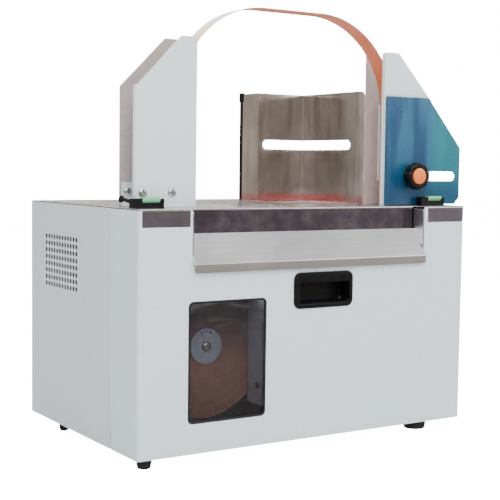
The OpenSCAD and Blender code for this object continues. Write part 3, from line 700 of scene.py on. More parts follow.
@dataclass(frozen=True)
class TableSheet(Finish):
    """Brushed stainless whose folded-down edges carry a painted dark reflection."""

    painted_dark_reflection: tuple[int, int, int] = (104, 96, 114)
    painted_tab_reflection: tuple[int, int, int] = (140, 134, 152)
    fold_z: float = 0.329
    band_half: float = 0.197

    def material(self, fx: Effects) -> bpy.types.Material:
        """Brushed steel with a painted, mottled dark reflection below the bend."""
        net, bsdf, color, rough, height = self.base(fx)
        co = net.here()
        z = net.axis(co, 2)
        reflection_mottle = net.noise(co, 55.0, 4.0)
        x = net.axis(co, 0)
        side = net.math("ABSOLUTE", net.math("SUBTRACT", x, CASE_X * MM))
        # painted reflection: the folded-down band and corner tabs darkened, with mottled patches
        tone = net.mix(net.math("GREATER_THAN", side, self.band_half), linear(self.painted_dark_reflection),
                       linear(self.painted_tab_reflection))
        tone = net.mix(net.span(reflection_mottle, 0.4, 0.75, 0.0, 0.3), tone, linear(self.second))
        color = net.mix(net.span(z, self.fold_z + 0.001, self.fold_z - 0.001), color, tone)
        return self.close(fx, net, bsdf, color, rough, height)


@dataclass(frozen=True)
class PaneSheet(Finish):
    """Tinted pane with painted reflections: faint slanting streaks of light, given as emission, in its upper
    part.
    """

    low_z: float = 0.150
    high_z: float = 0.235

    def material(self, fx: Effects) -> bpy.types.Material:
        """Clear dark sheet with weak streaks of painted reflection, given as emission."""
        net, bsdf, color, rough, height = self.base(fx)
        co = net.here()
        lean = net.put("ShaderNodeMapping", i_Vector=co, i_Rotation=(0.0, 0.25, 0.0),
                       i_Scale=(1.0, 1.0, 5.0)).outputs[0]
        streak = net.noise(lean, 14.0, 3.0, i_Distortion=0.4)
        z = net.axis(co, 2)
        part = net.math("MULTIPLY", net.span(streak, 0.48, 0.72, smooth=True),
                        net.span(z, self.low_z, self.high_z, smooth=True))
        # painted reflection: streaks lit by emission, not by a lamp
        net.feed(bsdf.inputs["Emission Color"], net.mix(part, (0, 0, 0, 1), linear((172, 172, 180))))
        bsdf.inputs["Emission Strength"].default_value = 1.0
        return self.close(fx, net, bsdf, color, rough, height)


@dataclass(frozen=True)
class FilmSheet(Finish):
    """Steel under blue protective film: upright streaks of darker and greener blue."""

    dark: tuple[int, int, int] = (22, 72, 108)
    green: tuple[int, int, int] = (32, 128, 140)

    def material(self, fx: Effects) -> bpy.types.Material:
        """Film with upright streaks and small air bubbles."""
        net, bsdf, color, rough, height = self.base(fx)
        co = net.here()
        long = net.scaled(co, (1.0, 1.0, 0.16))
        streak = net.noise(long, 38.0, i_Distortion=0.3)
        color = net.mix(net.span(streak, 0.38, 0.6, smooth=True), color, linear(self.dark))
        x = net.axis(co, 0)
        color = net.mix(net.span(x, 0.215, 0.25, 0.0, 0.75, smooth=True), color, linear(self.green))
        z = net.axis(co, 2)
        color = net.mix(net.span(z, 0.395, 0.345, 0.0, 0.8, smooth=True), color, linear(self.dark))
        cells = net.put("ShaderNodeTexVoronoi", i_Vector=co, i_Scale=130.0).outputs["Distance"]
        height = net.math("ADD", height, net.span(cells, 0.12, 0.05, 0.0, 1.5))
        return self.close(fx, net, bsdf, color, rough, height)


@dataclass(frozen=True)
class BandStrip(Finish):
    """Translucent band guide: orange, with a painted pale backlit wash on the left and faint painted
    emission.
    """

    painted_backlight: tuple[int, int, int] = (250, 226, 176)

    def material(self, fx: Effects) -> bpy.types.Material:
        """Strip that runs from a painted pale backlit wash to orange along X, with fine lengthwise lines and
        painted emission.
        """
        net, bsdf, color, rough, height = self.base(fx)
        x = net.axis(net.here(), 0)
        # painted backlight: the left part washed pale as if lit from behind
        color = net.mix(net.span(x, -0.05, -0.16, 0.0, 0.85, smooth=True), color, linear(self.painted_backlight))
        # painted emission: the strip gives off light in its own colour, standing in for light passing through
        # it
        bsdf.inputs["Emission Strength"].default_value = 0.12
        net.feed(bsdf.inputs["Emission Color"], color)
        return self.close(fx, net, bsdf, color, rough, height)


@dataclass(frozen=True)
class WoundPaper(Finish):
    """Wound kraft tape: turns of slightly different brown around the reel's axis, with painted shade on the
    upper turns.
    """

    axis: tuple[float, float, float] = (-0.155, 0.0, 0.142)

    def material(self, fx: Effects) -> bpy.types.Material:
        """Rings of tone and height from the distance to the reel's axis, plus fibre noise, and painted shade
        darkening the upper turns.
        """
        net, bsdf, color, rough, height = self.base(fx)
        co = net.here()
        flat = net.scaled(co, (1.0, 0.0, 1.0))
        far = net.put("ShaderNodeVectorMath", operation="DISTANCE", i_0=flat, i_1=self.axis).outputs["Value"]
        line = net.put("ShaderNodeTexNoise", noise_dimensions="1D", i_W=far, i_Scale=900.0,
                       i_Detail=3.0).outputs[0]
        broad = net.put("ShaderNodeTexNoise", noise_dimensions="1D", i_W=far, i_Scale=90.0,
                        i_Detail=2.0).outputs[0]
        color = net.mix(net.span(line, 0.3, 0.7, 0.0, 0.45), color, linear((112, 80, 68)))
        color = net.mix(net.span(broad, 0.45, 0.7, 0.0, 0.2), color, linear((160, 122, 104)))
        z = net.axis(co, 2)
        # painted shade: the upper turns darkened towards grey-brown, where less light reaches
        color = net.mix(net.span(z, 0.105, 0.185, 0.0, 0.9, smooth=True), color, linear((62, 56, 60)))
        height = net.math("ADD", height, net.math("MULTIPLY", line, 2.0))
        return self.close(fx, net, bsdf, color, rough, height)


LINES_X = (1.0, 40.0, 40.0)
LINES_Z = (40.0, 40.0, 1.0)

FINISHES: dict[str, Finish] = {finish.name: finish for finish in (
    Finish("case_paint", (214, 228, 231), (208, 223, 227), 0.42, bump=0.10, scale=1500, smudge=0.35,
           rough_spread=0.12, wear=0.35, worn=(236, 240, 241), coat=0.15, coat_rough=0.35),
    Finish("side_paint", (208, 217, 222), (202, 212, 218), 0.45, bump=0.10, scale=1500, smudge=0.35,
           rough_spread=0.12, wear=0.35, worn=(232, 236, 238), coat=0.12, coat_rough=0.4),
    Finish("tower_paint", (222, 234, 236), (216, 229, 232), 0.40, bump=0.08, scale=1500, smudge=0.3,
           rough_spread=0.1, wear=0.4, worn=(240, 243, 243), coat=0.15, coat_rough=0.3),
    # darker copy of the tower paint: painted shade for the rear tower plates
    Finish("tower_paint_in_shade", (176, 164, 162), (168, 156, 154), 0.42, bump=0.08, scale=1500, smudge=0.3,
           rough_spread=0.1, wear=0.4, worn=(226, 222, 220)),
    Finish("zinc_sheet", (168, 172, 176), (140, 146, 152), 0.38, metal=1.0, scale=90, bump=0.08,
           smudge=0.8, rough_spread=0.2, wear=0.2),
    TableSheet("stainless", (196, 192, 191), (176, 171, 172), 0.16, metal=1.0, grain=Grain.LINES,
               scale=14, stretch=LINES_X, bump=0.05, smudge=0.9, rough_spread=0.14, wear=0.4,
               worn=(248, 248, 248)),
    Finish("tray_satin", (214, 213, 213), (198, 197, 198), 0.27, metal=1.0, grain=Grain.LINES, scale=14,
           stretch=LINES_X, bump=0.06, smudge=0.7, rough_spread=0.14, wear=0.5, worn=(250, 250, 250)),
    MirrorSheet("mirror_stainless", (244, 238, 234), (230, 222, 220), 0.12, metal=1.0, grain=Grain.LINES,
                scale=10, stretch=LINES_Z, bump=0.03, smudge=0.35, rough_spread=0.08, wear=0.3,
                worn=(245, 240, 236)),
    FilmSheet("blue_film", (48, 110, 140), (40, 98, 132), 0.24, metal=0.35, scale=60,
              stretch=(1.0, 1.0, 0.25), bump=0.10, depth=0.0006, smudge=0.8, rough_spread=0.12, coat=0.3,
              coat_rough=0.12, wear=0.25, worn=(150, 190, 205)),
    BandStrip("arch_film", (216, 108, 60), (202, 96, 52), 0.34, grain=Grain.LINES, scale=20,
              stretch=(1.0, 60.0, 1.0), bump=0.06, smudge=0.4, coat=0.3, coat_rough=0.2, wear=0.3,
              worn=(250, 196, 160)),
    Finish("rubber_black", (14, 14, 17), (22, 22, 25), 0.65, scale=700, bump=0.25, smudge=0.8,
           worn=(90, 90, 92), wear=0.2),
    Finish("black_plastic", (8, 8, 10), (13, 13, 16), 0.40, scale=1300, bump=0.30, smudge=0.5,
           specular=0.25, worn=(84, 86, 92), wear=0.25),
    Finish("orange_plastic", (240, 124, 52), (232, 112, 44), 0.34, scale=800, bump=0.06, coat=0.3,
           worn=(252, 176, 120), wear=0.3),
    Finish("green_plastic", (128, 216, 156), (112, 204, 142), 0.35, scale=800, bump=0.06, coat=0.3,
           worn=(214, 250, 224), wear=0.4),
    Finish("red_plastic", (176, 28, 24), (160, 22, 20), 0.3, scale=800, bump=0.05, coat=0.3,
           worn=(220, 96, 84), wear=0.3),
    Finish("bright_screw", (208, 208, 206), (184, 186, 186), 0.2, metal=1.0, scale=300, bump=0.05,
           smudge=0.5, wear=0.3),
    Finish("machined_steel", (160, 162, 166), (132, 134, 140), 0.28, metal=1.0, grain=Grain.LINES,
           scale=24, stretch=LINES_X, bump=0.12, smudge=0.9, rough_spread=0.2, wear=0.4),
    Finish("dark_steel", (54, 54, 58), (40, 40, 44), 0.42, metal=0.6, scale=420, bump=0.12, smudge=0.8,
           wear=0.5, worn=(150, 150, 152)),
    Finish("alu", (164, 172, 192), (146, 154, 174), 0.36, metal=0.45, grain=Grain.LINES, scale=26,
           stretch=LINES_Z, bump=0.08, smudge=0.8, rough_spread=0.18, wear=0.4),
    Finish("feed_rubber", (38, 38, 40), (54, 54, 56), 0.75, scale=500, bump=0.3, wear=0.3,
           worn=(110, 110, 110)),
    Finish("white_plastic", (226, 225, 218), (216, 214, 206), 0.38, scale=700, bump=0.06, wear=0.2),
    WoundPaper("kraft_paper", (138, 98, 86), (124, 86, 78), 0.8, scale=420, bump=0.35, sheen=0.2,
               worn=(196, 160, 134)),
    Finish("card", (172, 142, 104), (156, 126, 90), 0.85, scale=300, bump=0.3, sheen=0.2,
           worn=(204, 180, 146), wear=0.3),
    PaneSheet("tinted_acrylic", (52, 46, 50), (40, 36, 40), 0.04, scale=30, bump=0.02, smudge=0.9,
              rough_spread=0.06, alpha=0.24, specular=0.7),
    Finish("board_green", (24, 92, 56), (18, 74, 44), 0.35, scale=220, bump=0.3, coat=0.3, wear=0.3,
           worn=(190, 170, 90)),
)}


# ---------------------------------------------------------------- the maker

class Maker:
    """Turns solids into finished pieces that ride on the CAD bodies."""

    def __init__(self, frame: dict) -> None:
        """Reads the record's slots and builds every finish."""
        self.frame = frame
        self.effects = Effects()
        self.looks = {key: finish.material(self.effects) for key, finish in FINISHES.items()}
        self.slots = {s["node"]: s["material_slot"] for s in frame["record"]["subparts"]}
        self.done: set[str] = set()

    def piece(self, name: str, solid: Solid, body: str, slot: str, replaces: Sequence[str] = (),
              look: str = "") -> bpy.types.Object:
        """Makes one piece.

        Args:
            name: the piece's name.
            solid: points in mm from the middle of the case's front face, and faces.
            body: CAD body it rides on.
            slot: the record's material slot.
            replaces: CAD nodes that it stands for.
            look: finish, when it isn't the slot's own.

        Returns:
            The new object.
        """
        verts, faces = solid
        mesh = bpy.data.meshes.new(name)
        mesh.from_pydata(((verts + np.array([CASE_X, FRONT_Y, 0.0])) * MM).tolist(), [], faces)
        bm = bmesh.new()
        bm.from_mesh(mesh)
        bmesh.ops.remove_doubles(bm, verts=bm.verts, dist=2e-6)
        bmesh.ops.dissolve_degenerate(bm, dist=1e-7, edges=bm.edges)
        bmesh.ops.recalc_face_normals(bm, faces=bm.faces)
        bm.to_mesh(mesh)
        bm.free()
        mesh.polygons.foreach_set("use_smooth", np.ones(len(mesh.polygons), bool))
        mesh.set_sharp_from_angle(angle=SHARP)
        mesh.materials.append(self.looks[look or slot])
        obj = bpy.data.objects.new(name, mesh)
        bpy.context.scene.collection.objects.link(obj)
        obj.modifiers.new("even_normals", "WEIGHTED_NORMAL").keep_sharp = True
        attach(obj, body)
        if replaces:
            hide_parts(*replaces)
            self.done.update(replaces)
        log.info("piece %s on %s: %d faces", name, body, len(mesh.polygons))
        return obj

    def keep(self, node: str, edge: float = 0.3, look: str = "") -> None:
        """Keeps a CAD node, rounds its edges with modifiers and gives it its finish.

        Args:
            node: the CAD node.
            edge: radius of the rounded edges in mm, 0 for none.
            look: finish, when it isn't the slot's own.
        """
        obj = self.frame["nodes"][node]
        obj.data.materials.clear()
        obj.data.materials.append(self.looks[look or self.slots[node]])
        if edge > 0:
            weld = obj.modifiers.new("weld", "WELD")
            weld.merge_threshold = 1e-6
            bevel = obj.modifiers.new("round_edges", "BEVEL")
            bevel.width = edge * MM
            bevel.segments = 2
            bevel.limit_method = "ANGLE"
            bevel.angle_limit = math.radians(40)
        self.done.add(node)
        log.info("kept %s", node)

    def keep_rest(self) -> None:
        """Gives every CAD node that isn't done yet its finish."""
        for node in sorted(set(self.frame["nodes"]) - self.done):
            self.keep(node)


# ---------------------------------------------------------------- sub-assemblies

@dataclass
class FrontCover:
    """Pull-off front cover: shell, window, pull and tray."""

    sheet: float = 1.5
    bend: float = 3.25
    return_y: float = 79.5
    top_z: float = 330.2
    window: tuple[float, float, float, float] = (-200.0, -80.0, 52.0, 212.0)
    pull: tuple[float, float, float, float] = (-36.2, 63.8, 193.5, 243.5)
    tray_half: float = 195.0
    lip_z: float = 260.0
    lip_h: float = 11.0
    lip_out: float = 6.0
    tray_y: float = 22.5
    tray_z: float = 298.0
    tabs: tuple[tuple[float, float], ...] = ((-267.5, -198.5), (201.5, 270.5))
    tab_z: float = 309.0

    def build(self, maker: Maker) -> None:
        """Builds every piece of the cover."""
        self.shell(maker)
        self.window_frame(maker)
        self.pull_cup(maker)
        self.tray(maker)
        self.shield(maker)

    def shell(self, maker: Maker) -> None:
        """Sheet folded at the front and both returns, cut for window, pull, tray and tabs."""
        m = self.sheet / 2
        edge_x = HALF_W - m
        corners_xy = [(-edge_x, self.return_y), (-edge_x, m), (edge_x, m), (edge_x, self.return_y)]
        fold = Fold(corners_xy, self.bend, 8)
        mid = fold.length / 2
        z0, z1 = FLOOR_Z, self.top_z
        g = 0.3
        (a0, a1), (b0, b1) = self.tabs
        low = self.tab_z - g
        right = mid + b1 + g + 1.4
        end = fold.length
        cut = self.lip_z + 6
        outline = [(1.4, z0), (end - 1.4, z0), (end - 1.4, z0 + 24), (end, z0 + 26), (end, z1),
                   (right, z1), (right, low), (mid + b0 - g, low), (mid + b0 - g, z1),
                   (mid + self.tray_half, z1), (mid + self.tray_half, cut), (mid - self.tray_half, cut),
                   (mid - self.tray_half, z1), (mid + a1 + g, z1), (mid + a1 + g, low), (mid + a0 - g, low),
                   (mid + a0 - g, z1), (0, z1), (0, z0 + 26), (1.4, z0 + 24)]
        radii = [1, 1, 0, 0, 1.5, 1.5, 1, 1, 1, 1, 4, 4, 1, 1, 1, 1, 1, 1.5, 0, 0]
        loops = [round_corners(np.array(outline), radii, 4)]
        x0, x1, w0, w1 = self.window
        loops.append(loop_rect(mid + x0, mid + x1, w0, w1, 7, 8))
        p0, p1, q0, q1 = self.pull
        loops.append(loop_rect(mid + p0 + 4, mid + p1 - 4, q0 + 4, q1 - 4, 7, 6))
        solid = fold_plan(plate(loops, self.sheet, 0.35, fold.bends), fold)
        maker.piece("cover_shell", solid, "cover", "case_paint", ["front_cover"])

    def window_frame(self, maker: Maker) -> None:
        """Rubber edging and pane: a round bead swept round the window, and a tinted plate behind it."""
        x0, x1, z0, z1 = self.window
        bead = [(0.05, 1.8), (0.05, 0.0), (0.35, -0.45), (1.0, -0.6), (2.1, -0.45), (2.8, 0.1), (3.0, 1.0),
                (3.0, 1.8)]
        rings = []
        for d, y in bead:
            loop = loop_rect(x0 + d, x1 - d, z0 + d, z1 - d, 7 - d, 10)
            rings.append(np.column_stack([loop[:, 0], np.full(len(loop), y), loop[:, 1]]))
        maker.piece("window_edging", loft(np.stack(rings), ring_loop=True), "cover", "rubber_black",
                    ["window_gasket"])
        pane = plate([loop_rect(x0 - 7, x1 + 7, z0 - 7, z1 + 7, 3, 5)], 3.0, 0.3)
        maker.piece("window_sheet", stand_front(pane, 3.3), "cover", "tinted_acrylic", ["window_pane"])

    def pull_cup(self, maker: Maker) -> None:
        """Recessed pull: rounded rectangles go over the bezel, into the mouth and down the pocket."""
        x0, x1, z0, z1 = self.pull
        steps = [(4.1, 4.1, 4.1, 4.1, 7, 22.0), (4.1, 4.1, 4.1, 4.1, 7, 0.0), (0.0, 0.0, 0.0, 0.0, 10, 0.0),
                 (0.0, 0.0, 0.0, 0.0, 10, -1.2), (0.5, 0.5, 0.5, 0.5, 9.5, -2.1),
                 (1.6, 1.6, 1.6, 1.6, 8.4, -2.5),
                 (5.0, 4.0, 5.0, 7.0, 7.0, -2.5), (8.8, 5.2, 5.8, 13.4, 4.2, -2.3),
                 (9.6, 5.8, 6.6, 14.6, 3.4, -1.4),
                 (10.0, 6.0, 7.0, 15.0, 3.0, 0.2), (10.0, 6.0, 7.0, 15.0, 3.0, 3.5),
                 (9.0, 6.0, 7.0, 7.0, 5.0, 3.6),
                 (9.0, 6.0, 7.0, 7.0, 5.0, 17.0), (11.0, 8.0, 9.0, 9.0, 5.0, 19.8)]
        rings = []
        for left, right, low, high, r, y in steps:
            loop = loop_rect(x0 + left, x1 - right, z0 + low, z1 - high, r, 8)
            rings.append(np.column_stack([loop[:, 0], np.full(len(loop), y), loop[:, 1]]))
        maker.piece("pull_cup", loft(np.stack(rings)), "cover", "black_plastic", ["pull_handle"])

    def tray(self, maker: Maker) -> None:
        """Tray: a sheet bent from its slope into the upright lip, with a triangular wall at each end."""
        t, half = self.sheet, self.tray_half - 0.5
        slope = math.atan2(self.tray_z - self.lip_z, self.tray_y + self.lip_out - t)
        up = t / 2 / math.cos(slope)
        fold = Fold([(self.tray_y - 0.4, self.tray_z + up - 0.6),
                     (-self.lip_out + t / 2, self.lip_z + up - 0.9),
                     (-self.lip_out + t / 2, self.lip_z - self.lip_h + 0.1)], 1.6, 6)
        body = plate([loop_rect(0, fold.length, -half, half, (0.8, 4, 4, 0.8), 5)], t, 0.5, fold.bends)
        walls = []
        for x in (-half + t / 2, half - t / 2):
            corner = np.array([(-1.5, self.lip_z + 7), (self.tray_y, self.tray_z + 1.5),
                               (self.tray_y, TABLE_Z - 4),
                               (0.6, TABLE_Z - 4), (0.6, self.lip_z + 11)])
            walls.append(stand_side(plate([round_corners(corner, [1, 1, 1, 3, 1])], t, 0.3), x))
        flange = plate([loop_rect(-half, half, self.lip_z - 8, self.lip_z + 9, 1)], t, 0.3)
        flange = stand_front(flange, 1.5 * t)
        maker.piece("tray_sheet", merge(fold_side(body, fold), *walls, flange), "cover", "stainless",
                    ["cover_tray"], "tray_satin")

    def shield(self, maker: Maker) -> None:
        """Bracket right of the window, folded once, with a black screw through its face."""
        x1 = self.window[1]
        t = self.sheet
        fold = Fold([(x1 + 26, t * 1.5), (x1 + 8 + t / 2, t * 1.5), (x1 + 8 + t / 2, 58)], 1.6, 5)
        hole = loop_circle(fold.at(y=32.0), 87, 2.2, 20)
        outline = round_corners(np.array([(0, 60), (fold.length, 60), (fold.length, 227),
                                          (fold.at(y=6.0), 227),
                                          (fold.at(y=6.0), 172), (0, 172)]), [2, 4, 4, 2, 1, 3])
        bracket = fold_plan(plate([outline, hole], t, 0.3, fold.bends), fold)
        maker.piece("shield_bracket", bracket, "cover", "alu", ["window_shield"])
        screw = pan_head(4.6, 3.0, (x1 + 8.0, 32, 87), Axis.LEFT, 1.4)
        maker.piece("shield_screw", screw, "cover", "dark_steel")


@dataclass
class Case:
    """Side and rear panels with their vents, and the feet."""

    sheet: float = 1.5
    front_y: float = 80.3
    vent_y: float = 189.5
    vent_z: float = 213.0
    vent_cols: int = 12
    vent_rows: int = 8
    vent_span: tuple[float, float] = (105.0, 69.0)
    fan: tuple[float, float] = (-150.0, 222.0)
    inlet: tuple[float, float] = (190.0, 72.0)
    switch_x: float = 145.0
    foot_list: tuple[tuple[float, float, float], ...] = ((-257, 12, 10.5), (200, 18.5, 17.5), (-261, 256, 8),
                                                         (200, 256, 17.5))

    def build(self, maker: Maker) -> None:
        """Builds the panels and the feet."""
        ys = self.vent_y + np.arange(self.vent_cols) * self.vent_span[0] / (self.vent_cols - 1)
        zs = self.vent_z + np.arange(self.vent_rows) * self.vent_span[1] / (self.vent_rows - 1)
        vents = [loop_rect(y - 3.5, y + 3.5, z - 3.1, z + 3.1, 1.2, 2) for y in ys for z in zs]
        edge = round_corners(np.array([(self.front_y, FLOOR_Z), (DEPTH - self.sheet, FLOOR_Z),
                                       (DEPTH - self.sheet, TABLE_Z - self.sheet),
                                       (self.front_y, TABLE_Z - self.sheet)]),
                             [1, 1, 1, 1], 3)
        for name, side in (("left", -1), ("right", 1)):
            solid = stand_side(plate([edge] + vents, 0.8, 0.15, steps=2), side * (HALF_W - 0.4))
            maker.piece(f"{name}_side_sheet", solid, "root", "side_paint", [f"{name}_side_panel"])
        self.rear(maker)
        self.feet(maker)

    def rear(self, maker: Maker) -> None:
        """Rear sheet with fan slots and two square holes."""
        fx, fz = self.fan
        rows = np.arange(-3, 4) * 9.0
        slots = [loop_rect(fx - w, fx + w, fz + a - 3, fz + a + 3, 2.9, 6)
                 for a, w in zip(rows, np.sqrt(34.0 ** 2 - rows ** 2))]
        ix, iz = self.inlet
        holes = [loop_rect(ix - 14, ix + 14, iz - 10, iz + 10, 0.6, 3),
                 loop_rect(self.switch_x - 11, self.switch_x + 11, iz - 14.5, iz + 14.5, 0.6, 3)]
        edge = loop_rect(-HALF_W, HALF_W, FLOOR_Z, TABLE_Z - self.sheet, 1.2, 3)
        solid = stand_front(plate([edge] + slots + holes, self.sheet, 0.3), DEPTH - self.sheet / 2)
        maker.piece("rear_sheet", solid, "root", "side_paint", ["rear_panel"])

    def feet(self, maker: Maker) -> None:
        """Rubber feet turned from a tapered profile with a round lower rim."""
        solids = []
        for x, y, r in self.foot_list:
            profile = [(0, 0.0), (r - 3.4, 0.0), (r - 2.4, 0.3), (r - 1.7, 1.2), (r - 1.3, 3.0),
                       (r - 0.1, 11.4),
                       (r - 0.1, 12.0), (0, 12.0)]
            solids.append(turned(profile, (x, y, 0), Axis.UP, 40))
        maker.piece("rubber_feet", merge(*solids), "root", "rubber_black", ["feet"])


@dataclass
class Table:
    """Stainless table: one sheet with a folded front band and folded corner tabs."""

    sheet: float = 1.5
    bend: float = 1.75
    band_y: float = 24.0
    band_z: float = 298.3
    half: float = 195.0
    tab_z: float = 309.0
    tabs: tuple[tuple[float, float], ...] = ((-267.5, -198.5), (201.5, 270.5))

    def build(self, maker: Maker) -> None:
        """Cuts the sheet flat, then folds its middle at the band and its corners at the front face."""
        m = self.sheet / 2
        top = TABLE_Z - m
        mid = Fold([(DEPTH, top), (self.band_y + m, top), (self.band_y + m, self.band_z)], self.bend, 6)
        side = Fold([(DEPTH, top), (m, top), (m, self.tab_z)], self.bend, 6)
        slit = mid.bends[0] - 2
        (a0, a1), (b0, b1) = self.tabs
        flat = DEPTH
        h, g = self.half, 0.35
        outline = [(0, -HALF_W), (flat, -HALF_W), (flat, a0 - g), (side.length, a0), (side.length, a1),
                   (flat, a1 + g),
                   (flat, -h - g), (slit, -h - g), (slit, -h + g), (mid.length, -h + g), (mid.length, h - g),
                   (slit, h - g), (slit, h + g), (flat, h + g), (flat, b0 - g), (side.length, b0),
                   (side.length, b1),
                   (flat, b1 + g), (flat, HALF_W), (0, HALF_W)]
        radii = [1, 0.8, 0, 3, 3, 0, 0.5, 0, 0, 0.5, 0.5, 0, 0, 0.5, 0, 3, 3, 0, 0.8, 1]
        loops = [round_corners(np.array(outline), radii, 4)[::-1]]
        loops.append(loop_rect(DEPTH - 97, DEPTH - 57, -46, 46, 1, 3))
        loops += [loop_rect(DEPTH - 93, DEPTH - 61, x - 2, x + 2, 1.2, 3) for x in (-183, 183)]
        loops.append(loop_circle(DEPTH - 322, 120, 3.05, 24))
        verts, faces = plate(loops, self.sheet, 0.3, mid.bends + side.bends)
        centre = np.abs(verts[:, 1]) < h
        front, _ = fold_side((verts, faces), mid)
        corner, _ = fold_side((verts, faces), side)
        maker.piece("table_sheet", (np.where(centre[:, None], front, corner), faces), "root", "stainless",
                    ["table_top"])


@dataclass
class Towers:
    """Four painted tower plates and their screws."""

    inner: float = 159.0
    outer: float = 251.0
    cut: float = 67.0
    top_z: float = 557.0
    front_y: float = 53.3
    rear_y: float = 99.0
    thick: float = 2.0
    flange: float = 8.0
    screws: tuple[float, float] = (197.0, 240.0)
    screw_z: float = 351.5
    stud: tuple[float, float, float] = (206.0, 375.5, 4.5)

    def build(self, maker: Maker) -> None:
        """Builds both pairs of plates and the eight screws."""
        for name, side in (("left", -1), ("right", 1)):
            self.front(maker, name, side)
            self.rear(maker, name, side)
        heads = [pan_head(6.0, 3.6, (side * x, y, self.screw_z), Axis.FRONT, 7.0)
                 for side in (-1, 1) for x in self.screws for y in (self.front_y, self.rear_y - self.thick)]
        maker.piece("tower_screw_heads", merge(*heads), "root", "bright_screw", ["tower_screws"])

    def holes(self, shift: Callable[[float], float], with_stud: bool) -> list[Array]:
        """Screw holes, and the clamp stud's hole on the plate that has one."""
        out = [loop_circle(shift(x), self.screw_z, 2.75, 24) for x in self.screws]
        return out + ([loop_circle(shift(self.stud[0]), self.stud[1], self.stud[2], 24)] if with_stud else [])

    def front(self, maker: Maker, name: str, side: int) -> None:
        """Front plate: folded back at its inner and outer edges, with a slanted upper corner."""
        m = self.thick / 2
        back = self.front_y + self.flange
        fold = Fold([(self.inner + m, back), (self.inner + m, self.front_y + m),
                     (self.outer - m, self.front_y + m),
                     (self.outer - m, back)], 2.2, 6)
        z0, low = TABLE_Z + 0.1, self.top_z - self.cut
        s = fold.at(x=self.outer - self.cut)
        e0, e1 = fold.bends[6] + 0.3, fold.bends[7] - 0.3
        outline = [(0, z0), (fold.length, z0), (fold.length, low - 2), (e1, low + 1.0), (s, self.top_z),
                   (e0, self.top_z), (0, self.top_z - 2)]
        loops = [round_corners(np.array(outline), [1, 1, 2, 0.5, 5, 0.5, 2], 5)]
        loops += self.holes(lambda x: fold.at(x=x), side > 0)
        v, f = fold_plan(plate(loops, self.thick, 0.45, fold.bends), fold)
        v[:, 0] *= side
        maker.piece(f"{name}_front_tower_plate", (v, f), "root", "tower_paint", [f"{name}_tower_front"])

    def rear(self, maker: Maker, name: str, side: int) -> None:
        """Rear plate: flat, with the same outline, in a darker copy of the tower paint as painted shade."""
        z0 = TABLE_Z + 0.1
        outline = [(self.inner, z0), (self.outer, z0), (self.outer, self.top_z - self.cut),
                   (self.outer - self.cut, self.top_z), (self.inner, self.top_z)]
        loops = [round_corners(np.array(outline), [1, 1, 4, 4, 2], 5)] + self.holes(lambda x: x, False)
        v, f = stand_front(plate(loops, self.thick, 0.45), self.rear_y + self.thick / 2)
        v[:, 0] *= side
        # the rear plates take the darker copy of the tower paint, as painted shade
        maker.piece(f"{name}_rear_tower_plate", (v, f), "root", "tower_paint", [f"{name}_tower_rear"],
                    look="tower_paint_in_shade")


@dataclass
class Arch:
    """Band guide strip over the goods."""

    half: float = 183.0
    radius: float = 135.0
    crown_z: float = 605.0
    foot_z: float = 302.0
    thick: float = 1.2
    y0: float = 62.0
    width: float = 30.0

    def build(self, maker: Maker) -> None:
        """Rounded strip section carried up the left leg, round two shoulders and down the right leg."""
        m = self.thick / 2
        r = self.radius - m
        sx, sz = self.half - self.radius, self.crown_z - self.radius
        a = np.linspace(math.pi, 0, 97)
        arc = np.column_stack([np.cos(a), np.sin(a)]) * r + np.array([0, sz])
        arc[:, 0] += np.clip(-np.cos(a) * -40, -1, 1) * sx
        legs = np.linspace(self.foot_z, sz, 12)[:-1]
        left = np.column_stack([np.full(11, -self.half + m), legs])
        right = np.column_stack([np.full(11, self.half - m), legs[::-1]])
        path = np.concatenate([left, arc, right])
        along = np.gradient(path, axis=0)
        along /= np.linalg.norm(along, axis=1, keepdims=True)
        out = np.column_stack([-along[:, 1], along[:, 0]])
        sec = loop_rect(-m, m, 0, self.width, 0.5, 3)
        shift = sec[None, :, 0]
        x = path[:, :1] + out[:, :1] * shift
        z = path[:, 1:] + out[:, 1:] * shift
        y = np.broadcast_to(self.y0 + sec[None, :, 1], x.shape)
        maker.piece("band_strip", loft(np.stack([x, y, z], -1)), "root", "arch_film", ["arch_guide"])


